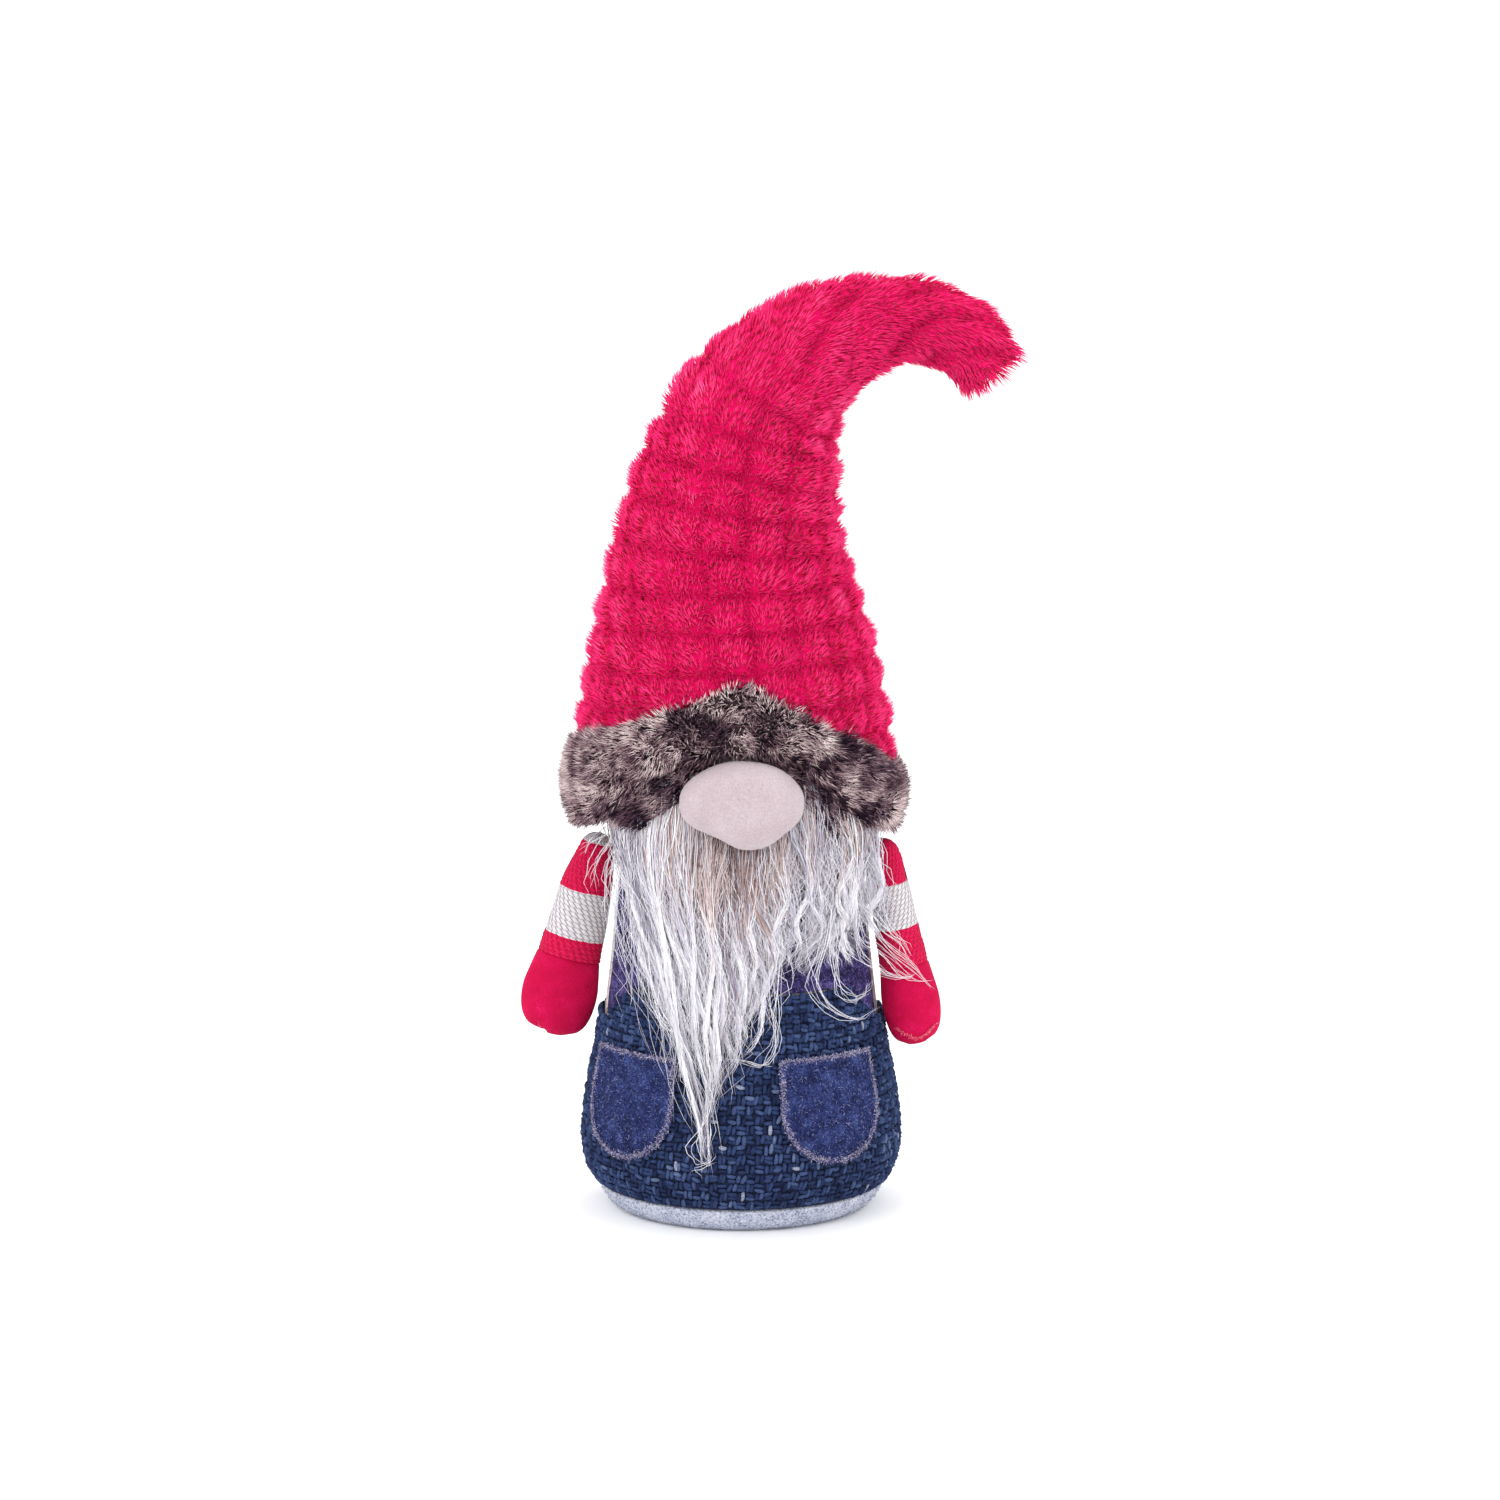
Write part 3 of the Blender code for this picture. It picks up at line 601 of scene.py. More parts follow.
def lintHairs(name, count, spot, length, tones, seed, body="root", width=0.09, lift=0.55):
    # short loose fibres that lie on a cloth, where spot(rng, count) gives their roots and the way out
    rng = np.random.default_rng(seed)
    roots, out = spot(rng, count)
    first = unit(rng.normal(size=roots.shape) + 0.2 * out)
    second = unit(rng.normal(size=roots.shape) + 0.1 * out)
    paths = bendHair(roots, unit(first + lift * out), second, rng.uniform(0.4, 1.0, count) * length)
    away = np.sum((paths - roots[:, None]) * out[:, None], axis=-1, keepdims=True)
    paths = paths - out[:, None] * (away - np.clip(away, 0.0, 1.2))
    fuzz = growHair(name, paths, [width, width * 0.9], rng.integers(0, len(tones), (count, 1)), tones, seed)
    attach(fuzz, body)
    return fuzz


def makeBib():
    felt = feltFinish("bibFelt", (12, 10, 28), (46, 38, 84), (100, 90, 146))

    def place(u, v):
        azimuth = (u * 2 - 1) * bib["half"]
        tab = smoothStep(np.abs(azimuth), bib["tabInner"] - 6, bib["tabInner"] + 2)
        low = skirtTop(azimuth) + 0.2
        height = low + v * (bib["top"] + (bib["tabTop"] - bib["top"]) * tab - low)
        soft = 0.25 * (lumps(roundPlace(azimuth, height, 50.0), 5.0, 8) - 0.5)
        return roundPlace(azimuth, height, sweaterRadius(height) + bib["stand"] + soft)

    piece = addCloth("bibFelt", 120, 50, place, [felt], thickness=1.3)
    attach(piece, "root")
    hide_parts("bib")

    def spot(rng, count):
        azimuth = rng.uniform(-bib["half"], bib["half"], count)
        height = rng.uniform(0, 1, count) * (bib["top"] - skirtTop(azimuth)) + skirtTop(azimuth)
        return roundPlace(azimuth, height, sweaterRadius(height) + bib["stand"] - 0.1), outWay(azimuth)

    tones = shadeRow("bibLint", 5, (0, 24, 18, 56), (0.6, 74, 66, 124), (1, 140, 132, 184))
    lintHairs("bibLint", bib["lint"], spot, 2.6, tones, 31)


pocket = {
    "top": 67.5, "height": 40.5, "half": 22.5, "straight": 0.42, "rim": 2900, "lint": 2300,
    "rightPocket": -46.0, "leftPocket": 35.6,  # the azimuth of each pocket's middle
}


def pocketHalf(drop):  # half width at a share of the way down, straight and then rounded in
    rounded = np.clip((drop - pocket["straight"]) / (1 - pocket["straight"]), 0, 1)
    return pocket["half"] * np.sqrt(np.clip(1 - rounded ** 2.3, 0.0, 1))


def makePocket(name, node, seed):
    centre = pocket[name]
    felt = feltFinish(name + "Felt", (14, 18, 50), (36, 44, 90), (64, 76, 130))

    def spread(across, drop, lift):
        height = pocket["top"] - drop * pocket["height"]
        reach = across * pocketHalf(drop)
        radius = skirtRadius(height) + 0.4 + lift
        return roundPlace(centre + np.degrees(reach / 60.0), height, radius)

    def place(u, v):
        across, drop = u * 2 - 1, 0.995 * (1 - v)
        upper = np.minimum(drop, 1 - drop) * pocket["height"]
        edge = np.minimum((1 - np.abs(across)) * pocketHalf(drop), upper)
        rim = np.exp(-((edge - 1.4) / 1.1) ** 2)
        soft = 0.3 * (lumps(spread(across, drop, 0.0), 4.0, seed) - 0.5)
        return spread(across, drop, 1.15 + 0.75 * rim + soft - 0.5 * np.exp(-edge / 0.5))

    piece = addCloth(name, 90, 80, place, [felt], thickness=1.2)
    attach(piece, "root")
    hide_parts(node)

    def facing(places):
        return unit(places * np.array([1, 1, 0.0]))

    drops = np.linspace(0, 0.995, 60)
    down = stack(pocketHalf(drops), drops * pocket["height"])
    top = stack(np.linspace(-1, 1, 30) * pocketHalf(0.0), 0.0)
    outline = np.concatenate([top, down, down[::-1] * np.array([-1, 1])])
    runs = np.concatenate([[0], np.cumsum(np.hypot(*np.diff(outline, axis=0).T))])

    def rimSpot(rng, count):
        at = rng.uniform(0, runs[-1], count)
        spots = stack(np.interp(at, runs, outline[:, 0]), np.interp(at, runs, outline[:, 1]))
        inwards = rng.normal(1.1, 0.5, count) / 22.0
        spots += (np.array([0.0, pocket["height"] * 0.45]) - spots) * inwards[:, None]
        height = pocket["top"] - spots[:, 1]
        places = roundPlace(centre + np.degrees(spots[:, 0] / 60.0), height, skirtRadius(height) + 2.0)
        return places, facing(places)

    rimTones = shadeRow(name + "Rim", 4, (0, 88, 84, 122), (0.5, 140, 134, 168), (1, 204, 198, 218))
    lintHairs(name + "Rim", pocket["rim"], rimSpot, 2.0, rimTones, seed + 1, lift=0.5, width=0.15)

    def faceSpot(rng, count):
        places = spread(rng.uniform(-0.95, 0.95, count), rng.uniform(0.02, 0.97, count), 1.3)
        return places, facing(places)

    faceTones = shadeRow(name + "Lint", 6, (0, 20, 26, 66), (0.5, 52, 62, 116), (0.8, 92, 104, 156),
                         (1, 150, 158, 200))
    lintHairs(name + "Lint", pocket["lint"], faceSpot, 2.4, faceTones, seed + 2, lift=0.4, width=0.09)


makeBib()
makePocket("rightPocket", "right_pocket", 41)
makePocket("leftPocket", "left_pocket", 51)
print("dungarees made")


# arms

arms = {
    "right": {"side": -1, "x": 55.2, "y": 4.0, "lean": 14.0, "outer": 1.0, "inner": 1.0,
              "stripes": (-2.5, 16.5, 35.0)},
    "left": {"side": 1, "x": 53.6, "y": -9.0, "lean": 10.4, "outer": 0.79, "inner": 0.74,
             "stripes": (-30.0, 11.2, 28.2)},
    "height": 137.0, "shoulder": 6.4, "sleeveEnd": 43.0,
    # sections down each arm, as (distance, outer, inner, depth) from the shoulder's pivot
    "sleeve": [(0, 6.4, 6.4, 6.4), (10, 9.2, 8.8, 8.4), (22, 10.6, 10.4, 9.2), (42, 12.2, 11.8, 9.2),
               (44, 12.5, 12.0, 9.2)],
    "mitten": [(41.5, 12.0, 11.6, 8.9), (50, 14.0, 13.2, 9.2), (58, 15.2, 14.2, 9.0), (66, 14.0, 13.4, 8.0),
               (71.5, 10.2, 10.2, 6), (74.0, 5.0, 5.0, 3.6)],
}


def armPlace(arm, turn, distance, section, lift):
    # turn is round the arm from its outer side, and lift is how far outside its cloth
    lean = radians(arm["lean"])
    line = smoothLine(section, distance)
    share = smoothStep(distance, 0.0, 12.0)
    outer = line[..., 0] * (1 + (arm["outer"] - 1) * share)
    inner = line[..., 1] * (1 + (arm["inner"] - 1) * share)
    width = np.where(np.cos(turn) > 0, outer, inner)
    across = (width + lift) * np.cos(turn)
    depth = (line[..., 2] + lift) * np.sin(turn)
    x = arm["side"] * (arm["x"] + sin(lean) * distance + cos(lean) * across)
    z = arms["height"] - cos(lean) * distance + sin(lean) * across
    return stack(x, arm["y"] + depth, z)


knit = {"stitches": 26, "row": 1.9, "slant": 0.8, "stagger": 0.37, "relief": 0.32}


def stripedFinish(name, stripes, low, high):
    # v runs up the sleeve's length from low to high, in millimetres from the shoulder's pivot
    cloth = Finish(name, tone(210, 10, 55))
    across = cloth.node("ShaderNodeSeparateXYZ", {}, {"Vector": cloth.laid()})
    distance = across.also("Y") * (high - low) + low
    row = distance / knit["row"]
    rowNumber = cloth.maths("FLOOR", row)
    slant = across * knit["stitches"] + (row - rowNumber) * knit["slant"] + rowNumber * knit["stagger"]
    # painted shade: the gaps beside each stitch and between the rows darken the yarn's colour towards a
    # deeper red or grey; the same mask also sinks the bump
    besideStitch = cloth.maths("FRACT", slant) < 0.24
    betweenRows = cloth.maths("PINGPONG", row, 0.5) < 0.08
    gapShadeAndDip = cloth.maths("MAXIMUM", besideStitch, betweenRows * 0.5)
    fibre = cloth.noise(0.7, detail=3.0)
    edge = (cloth.noise(3.0) - 0.5) + distance
    first, second, third = stripes
    upperStripe = (edge > first) * (edge < second)
    red = cloth.maths("MAXIMUM", upperStripe, edge > third)
    redFibre = cloth.ramp(fibre, (0.3, tone(178, 4, 54)), (0.7, tone(216, 28, 84)))
    redYarn = cloth.mix(gapShadeAndDip * 0.55, redFibre, tone(140, 0, 36))
    paleFibre = cloth.ramp(fibre, (0.3, tone(192, 186, 190)), (0.7, tone(222, 216, 219)))
    paleYarn = cloth.mix(gapShadeAndDip * 0.8, paleFibre, tone(128, 124, 132))
    cloth.feed("Base Color", cloth.mix(red, paleYarn, redYarn))
    cloth.bump((1 - gapShadeAndDip) * 0.7 + fibre * 0.3, 0.35)
    return cloth


def makeSleeve(side):
    arm = arms[side]
    low, high = -arms["shoulder"] - 0.2, arms["sleeveEnd"]
    cloth = stripedFinish(side + "StripedKnit", arm["stripes"], low, high)
    lean = radians(arm["lean"])
    down = np.array([arm["side"] * sin(lean), 0.0, -cos(lean)])
    pivot = np.array([arm["side"] * arm["x"], arm["y"], arms["height"]])

    def place(u, v):
        distance = low + v * (high - low)
        below = np.maximum(distance, 0.0)
        dome = np.sqrt(np.clip(1 - (np.minimum(distance, 0) / (arms["shoulder"] * 0.97)) ** 2, 0.0, 1))
        row = distance / knit["row"]
        slant = u * knit["stitches"] + (row % 1.0) * knit["slant"] + np.floor(row) * knit["stagger"]
        stitch = np.sin((slant % 1.0) * pi) ** 0.6 * np.sin((row % 1.0) * pi) ** 0.5
        lift = knit["relief"] * (stitch - 0.4) + 0.5 * (lumps(stack(u * 30, v * 40, 0), 6.0, 61) - 0.5)
        outwards = armPlace(arm, u * 2 * pi, below, arms["sleeve"], 0.0) - (pivot + down * below[:, None])
        size = np.linalg.norm(outwards, axis=1)
        middle = pivot + down * distance[:, None]
        return middle + outwards * ((1 + lift / size) * np.where(distance < 0, dome, 1.0))[:, None]

    piece = addCloth(side + "Sleeve", 170, 120, place, [cloth])
    turnOut(piece, capped=True)
    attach(piece, side + "_arm")
    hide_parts(side + "_sleeve")


def makeMitten(side):
    arm = arms[side]
    felt = Finish(side + "MittenFelt", tone(206, 4, 64))
    fibre = felt.noise(0.5, detail=4.0)
    cloud = felt.noise(7.0)
    felt.feed("Base Color", felt.ramp(fibre * 0.55 + cloud * 0.45, (0.3, tone(164, 0, 52)),
                                      (0.5, tone(184, 2, 62)), (0.7, tone(206, 16, 86))))
    felt.bump(fibre, 0.22)
    start, end = arms["mitten"][0][0], arms["mitten"][-1][0]

    def place(u, v):
        turn = u * 2 * pi
        distance = start + (end - start) * np.sin(v * pi / 2) ** 0.9
        cuff = smoothStep(v, 0.0, 0.04)
        seam = np.exp(-(np.sin(turn) * 9.0) ** 2) * smoothStep(v, 0.0, 0.2)
        lift = -1.5 * (1 - cuff) - 0.9 * seam + 0.5 * (lumps(stack(u * 30, v * 30, 5), 7.0, 63) - 0.5)
        if side == "right":   # a crease at its outer front parts the end, which is higher on the outer side
            crease = np.exp(-((turn - seams["right"]) / 0.16) ** 2) * smoothStep(v, 0.62, 0.9)
            lift = lift - 2.2 * crease
        places = armPlace(arm, turn, distance, arms["mitten"], lift)
        if side == "right":
            places[:, 2] += 1.2 * smoothStep(np.cos(turn), 0.2, 0.8) * smoothStep(v, 0.75, 1.0)
        return places

    mitten = addCloth(side + "Mitten", 120, 72, place, [felt])
    turnOut(mitten, capped=True)
    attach(mitten, side + "_arm")
    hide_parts(side + "_mitten_front", side + "_mitten_back")


# where each mitten's seam edge starts, as a turn round the arm, and its number of fibres; the fibres' pale
# tone is a painted highlight along the seam
seams = {"right": 2 * pi - 1.05, "left": 2 * pi - 2.25, "fibres": 420}


def makeMittenSeam(side):
    arm = arms[side]
    count = seams["fibres"]
    rng = np.random.default_rng(65)
    v = np.sort(rng.uniform(0, 1, count))
    if side == "right":   # down the crease
        turn = seams[side] + rng.normal(0, 0.03, count)
        distance = 62.5 + 9.5 * v
        lift = -1.1
    else:   # in an arc across the front
        turn = seams[side] + 1.5 * v + rng.normal(0, 0.03, count)
        distance = 66.0 + 4.6 * np.sin(v * pi) + 1.5 * v
        lift = 0.35
    roots = armPlace(arm, turn, distance, arms["mitten"], lift)
    out = unit(roots - armPlace(arm, turn, distance, arms["mitten"], -3.0))
    ends = unit(rng.normal(size=roots.shape) + 0.3 * out)
    paths = bendHair(roots, unit(out * 0.4 + ends), ends, rng.uniform(0.6, 1.5, count))
    # the fibres' pale pink is a painted highlight along the seam edge
    seam = growHair(side + "MittenSeam", paths, [0.16, 0.12], rng.integers(0, 3, (count, 1)),
                    shadeRow(side + "SeamHighlight", 3, (0, 226, 40, 90), (1, 250, 140, 165)), 66)
    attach(seam, side + "_arm")


for side in ("right", "left"):
    makeSleeve(side)
    makeMitten(side)
    makeMittenSeam(side)
print("arms made")


# hat

hat = {
    # (x, z, cloth radius) along the middle, mouth to tip
    "line": [(-2.5, 150, 56.8), (-2.5, 166, 57.0), (-2.6, 182, 56.4), (-3.4, 208, 52.4), (-4.0, 220, 49.6),
             (-4.4, 231, 46.6), (-4.6, 250, 41.8), (-3.0, 268.5, 37.6), (0.6, 286, 33.8), (4.6, 300.6, 30.6),
             (13.4, 314.6, 26.0), (23.9, 325.4, 21.8), (31.5, 331.0, 19.6), (43.0, 335.6, 16.6),
             (57.6, 338.6, 14.6), (70.7, 337.4, 13.0), (83.0, 332.0, 12.4), (90.2, 325.2, 11.6),
             (93.6, 321.2, 10.2), (95.2, 319.2, 6.0), (95.8, 318.6, 0.0)],
    "mouth": 150.0, "row": 14.2, "firstRow": 60.5, "column": 15.2, "firstColumn": -5.0, "drift": -0.1,
    "puff": 3.0, "sink": 1.8, "groove": 2.6,
    "fold": 13.0, "foldGroove": 3.2, "foldStart": 160, "foldFull": 184,
    "pile": 3.8, "pileMore": 2.2, "hairs": 60500, "width": 0.26, "tuck": 2.6,
    "bendStart": (0.003, 0.0, 0.300), "bendEnd": (0.035, 0.0, 0.332),
}
hatSteps = np.concatenate([[0], np.cumsum(np.hypot(*np.diff(np.array(hat["line"])[:, :2], axis=0).T))])
hatCurve = [(step, *row) for step, row in zip(hatSteps, hat["line"])]
hatLength = hatSteps[-1]


def hatFrame(distance):
    middle = smoothLine(hatCurve, distance)
    ahead, behind = smoothLine(hatCurve, distance + 1.5), smoothLine(hatCurve, distance - 1.5)
    heading = unit(ahead[..., :2] - behind[..., :2])
    along = stack(heading[..., 0], 0.0, heading[..., 1])
    sideways = stack(heading[..., 1], 0.0, -heading[..., 0])
    return middle, along, sideways


def hatPillow(distance, azimuth, radius):
    # 0 in the sewn grooves to 1 on the puffs, in rows round the hat that break into folds near the tip
    reach = np.radians(azimuth) * radius
    wobble = 2.2 * (lumps(stack(reach, distance, 0.0), 11.0, 71) - 0.5)
    fromRow = ((distance + wobble - hat["firstRow"]) / hat["row"]) % 1.0
    rowGap = np.minimum(fromRow, 1 - fromRow) * hat["row"]
    drift = hat["firstColumn"] + hat["drift"] * (distance - 58)  # the columns lean as they rise
    columnWobble = 2.4 * (lumps(stack(reach, distance, 9.0), 9.0, 72) - 0.5)
    fromColumn = ((reach + columnWobble - drift) / hat["column"]) % 1.0
    columnGap = np.minimum(fromColumn, 1 - fromColumn) * hat["column"]
    rowGroove = 1 - 0.75 * np.exp(-(rowGap / hat["groove"]) ** 2)
    columnGroove = 1 - 0.65 * np.exp(-(columnGap / hat["groove"]) ** 2)
    tiles = rowGroove * columnGroove
    swirl = 7.0 * lumps(stack(reach, distance, 3.0), 16.0, 73)
    fold = ((distance * 0.55 + reach * 0.8 + swirl) / hat["fold"]) % 1.0
    foldGap = np.minimum(fold, 1 - fold) * hat["fold"]
    broken = smoothStep(lumps(stack(reach, distance, 6.0), 12.0, 74), 0.2, 0.6)
    folds = 1 - np.exp(-(foldGap / hat["foldGroove"]) ** 2) * broken
    return tiles + (folds - tiles) * smoothStep(distance, hat["foldStart"], hat["foldFull"])


def hatPlace(distance, azimuth, lift=0.0):
    middle, along, sideways = hatFrame(distance)
    radius = middle[..., 2]
    pillow = hatPillow(distance, azimuth, radius)
    turn = np.radians(azimuth)[..., None]
    out = sideways * np.sin(turn) + np.array([0.0, -1.0, 0.0]) * np.cos(turn)
    thin = np.minimum(radius / 12.0, 1.0)
    covered = brimTop(azimuth) + 2.0 - hat["mouth"] - distance  # how far below the brim's upper edge
    tuck = hat["tuck"] * smoothStep(covered, 0.0, 6.0)
    reach = radius + (pillow * hat["puff"] - hat["sink"]) * thin + lift - tuck
    seat = stack(middle[..., 0], 0.0, middle[..., 1])
    return seat + out * np.maximum(reach, 0.0)[..., None], out, along, pillow, radius


def brimLow(azimuth):
    return smoothLine(brim["low"], azimuth)


def brimTop(azimuth):
    return smoothLine(brim["top"], azimuth)


def makeHatCloth():
    plush = Finish("hatPlush", tone(196, 2, 86))
    fibre = plush.noise(0.8, detail=3.0)
    blotch = fibre * 0.5 + plush.noise(9.0) * 0.5
    plush.feed("Base Color", plush.ramp(blotch, (0.3, tone(196, 0, 76)), (0.7, tone(230, 9, 102))))
    plush.bump(fibre, 0.8)

    def place(u, v):
        azimuth = u * 360 - 180
        bottom = np.maximum(brimLow(azimuth) + 4.0 - hat["mouth"], 0.0)
        return hatPlace(bottom + v * (hatLength - bottom), azimuth)[0]

    piece = addCloth("hatCloth", 170, 150, place, [plush], thickness=2.0)
    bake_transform(piece)
    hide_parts("hat", "hat_tip", "hat_filling", "hat_tip_filling")


def makeHatPile():  # hairs spread evenly over the cloth, combed towards the tip
    rng = np.random.default_rng(77)
    table = np.linspace(18, hatLength - 0.2, 2000)
    weight = np.cumsum(np.maximum(smoothLine(hatCurve, table)[:, 2], 1.5) ** 0.92)
    distance = np.interp(rng.random(hat["hairs"]), weight / weight[-1], table)
    azimuth = rng.uniform(-180, 180, hat["hairs"])
    bare = hat["mouth"] + distance < brimTop(azimuth) - 7  # deep under the brim
    distance, azimuth = distance[~bare], azimuth[~bare]
    count = distance.size
    roots, out, along, pillow, radius = hatPlace(distance, azimuth, -0.5)

    # hairs lean out of the grooves, and swing together in tufts
    step = 1.0
    nearUp = hatPillow(distance + step, azimuth, radius)
    nearSide = hatPillow(distance, azimuth + np.degrees(step / np.maximum(radius, 4)), radius)
    rise = np.clip((pillow - nearUp) * 3.2, -0.7, 0.9)
    turn = np.clip((nearSide - pillow) * 3.0, -0.8, 0.8)
    lean = along * rise[:, None] - np.cross(along, out) * turn[:, None]
    tuft = stack(np.radians(azimuth) * radius, distance, 0.0)
    swing, broad = threeLumps(tuft, 2.6, 78), threeLumps(tuft, 7.0, 81)
    upper = smoothStep(distance, 140, 175)[:, None]
    stray = rng.normal(size=(count, 3)) * 0.07
    starts = unit(out + along * (0.15 + 0.55 * upper) + lean * 0.35 + swing * 0.25 + stray)
    ends = unit(out * (0.62 - 0.25 * upper) + along * (0.75 + 0.6 * upper) + lean * 0.5 + swing * 0.55
                + broad + stray)
    lengths = (hat["pile"] + hat["pileMore"] * pillow) * rng.uniform(0.75, 1.12, count)
    longerTip = 1 + 0.35 * smoothStep(distance, hatLength - 9, hatLength)
    lengths = lengths * (0.85 + 0.35 * lumps(tuft, 5.0, 84)) * longerTip
    paths = bendHair(roots, starts, ends, lengths)

    # painted light and shade: pale on the puffs and at the hairs' ends as painted highlight, darker in the
    # grooves and at the roots as painted shade, and darker towards the tip
    bright = 0.26 + 0.36 * pillow + 0.10 * (lumps(tuft, 3.2, 85) - 0.5) + 0.20 * (lumps(tuft, 12.0, 86) - 0.5)
    bright = bright + rng.normal(0, 0.03, count) - 0.14 * upper[:, 0] * smoothStep(distance, 190, 235)
    tones = shadeRow("hatPile", 9, (0, 193, 0, 74), (0.3, 222, 4, 94), (0.6, 241, 24, 111),
                     (0.85, 252, 54, 132), (1, 254, 98, 160),
                     Sheen_Weight=0.1, Sheen_Roughness=0.5, Specular_IOR_Level=0.05)
    shades = pickShades(np.stack([bright - 0.06, bright + 0.16], axis=1), tones)
    widths = [hat["width"], hat["width"] * 0.75]
    order = np.argsort(distance, kind="stable")
    for number, chosen in enumerate(np.array_split(order, 4)):
        pile = growHair(f"hatPile{number + 1}", paths[chosen], widths, shades[chosen], tones, 87 + number)
        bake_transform(pile)


brim = {
    "centre": -2.5, "inner": 58.4, "lining": 0.9, "swell": 4.2,
    "hairs": 29000, "length": 6.6, "width": 0.2, "fringe": 5200,
    # (azimuth, height) of the lower and the upper edge
    "low": [(-180, 149.5), (-90, 151), (-66, 152.5), (-50, 160), (-24, 178.5), (0, 183.5), (22, 180),
            (48, 158), (64, 151), (90, 149.6), (180, 149.5)],
    "top": [(-180, 177), (-90, 179), (-52, 189), (-28, 196), (-10, 203), (4, 207), (20, 199),
            (36, 190), (52, 184), (76, 172.5), (90, 171), (180, 177)],
}


def brimShell(azimuth, share):  # share runs up the outside from the lower edge to the upper edge
    height = brimLow(azimuth) + share * (brimTop(azimuth) - brimLow(azimuth))
    swell = brim["swell"] * np.sqrt(np.clip(np.sin(np.clip(share, 0.002, 0.998) * pi), 0, 1))
    taper = 57.4 - np.interp(height, [150, 182, 210], [57.0, 56.6, 52.6])
    return height, brim["inner"] + swell - taper * 0.9


def makeBrimSkin():
    skin = Finish("brimSkin", tone(60, 50, 56))
    skin.feed("Base Color", skin.ramp(skin.noise(3.0), (0.35, tone(34, 27, 34)), (0.65, tone(96, 82, 84))))

    def place(u, v):  # up the outside, then down the lining
        azimuth = u * 360 - 180
        share = np.interp(v, [0, 0.6, 1.0], [0.0, 1.0, 0.0])
        height, radius = brimShell(azimuth, share)
        radius = np.where(v > 0.6, np.minimum(radius, brim["inner"] - brim["lining"]), radius)
        return roundPlace(azimuth, height, radius, brim["centre"])

    piece = addCloth("brimFurSkin", 180, 40, place, [skin])
    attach(piece, "root")
    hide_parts("brim")


def growBrimFur(name, paths, bright, tones, seed):
    widths = [brim["width"], brim["width"] * 0.85]
    fur = growHair(name, paths, widths, pickShades(bright, tones), tones, seed)
    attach(fur, "root")


def makeBrimFur(rng, tones):
    azimuth = rng.uniform(-180, 180, brim["hairs"] * 2)
    share = rng.uniform(0.0, 1.0, brim["hairs"] * 2)
    tall = brimTop(azimuth) - brimLow(azimuth)
    keep = rng.random(azimuth.size) < tall / 42.0  # as many to the area where the band is tall
    azimuth, share = azimuth[keep][:brim["hairs"]], share[keep][:brim["hairs"]]
    count = azimuth.size
    height, radius = brimShell(azimuth, share)
    roots = roundPlace(azimuth, height, radius - 0.4, brim["centre"])
    out, around, up = outWay(azimuth), roundWay(azimuth), np.array([0.0, 0.0, 1.0])
    edge = (share - 0.5) * 2
    sideways = np.sign(azimuth + 4) * smoothStep(np.abs(azimuth + 4), 0, 30)
    heading = (out * 0.5 + around * (0.42 * sideways)[:, None] + up * (0.75 * edge ** 3 - 0.12)[:, None]
               + up * (0.35 * smoothStep(-np.abs(azimuth), -30, -8))[:, None]
               + threeLumps(roots, 9.0, 92) * 1.5 + threeLumps(roots, 2.6, 95) * 1.1
               + rng.normal(size=(count, 3)) * 0.22)
    inward = np.sum(heading * out, axis=1)
    ends = unit(heading + out * np.maximum(0.22 - inward, 0)[:, None])
    lengths = brim["length"] * rng.uniform(0.7, 1.1, count) * (0.8 + 0.4 * lumps(roots, 6.0, 98))
    paths = bendHair(roots, unit(out * 0.8 + ends * 0.8), ends, lengths)

    patch = lumps(roots, 7.5, 99) * 0.6 + lumps(roots * np.array([1, 1, 1.6]), 3.2, 100) * 0.4
    # painted shade: the band is darker on the figure's left side and at its lower edge, under the roll
    bright = 0.46 + (patch - 0.5) * 1.4 + rng.normal(0, 0.17, count) - 0.14 * smoothStep(azimuth, 5, 45)
    low = smoothStep(share, 0.16, 0.0)
    bright = np.stack([bright - 0.34, bright + 0.22], axis=1) - 0.12 * low[:, None]
    front = np.abs(azimuth) < 90
    for name, chosen in (("brimFurFront", front), ("brimFurBack", ~front)):
        growBrimFur(name, paths[chosen], bright[chosen], tones, 101)


def makeBrimFringe(rng, tones):
    # the fringe of the band's inner side, which shows between its edge and the face; painted shade makes its
    # hairs darker than the band's, and darker the deeper they sit below the edge
    count = brim["fringe"]
    azimuth = rng.choice([-1.0, 1.0], count) * rng.uniform(8, 70, count)
    depth = rng.uniform(-2.0, 17.0, count) * smoothStep(np.abs(azimuth), 62, 34)
    roots = roundPlace(azimuth, brimLow(azimuth) + 1.0 - depth, 55.6 - 0.15 * depth, brim["centre"])
    out, around, up = outWay(azimuth), roundWay(azimuth), np.array([0.0, 0.0, 1.0])
    ends = unit(out * 0.7 - up * 0.55 + around * np.sign(azimuth)[:, None] * 0.5
                + threeLumps(roots, 3.0, 102) * 1.3 + rng.normal(size=(count, 3)) * 0.2)
    paths = bendHair(roots, unit(out + ends), ends, rng.uniform(3.5, 6.5, count))
    bright = 0.34 + (lumps(roots, 5.0, 105) - 0.5) * 0.9 + rng.normal(0, 0.12, count) - 0.01 * depth
    growBrimFur("brimFringe", paths, np.stack([bright - 0.28, bright + 0.10], axis=1), tones, 106)


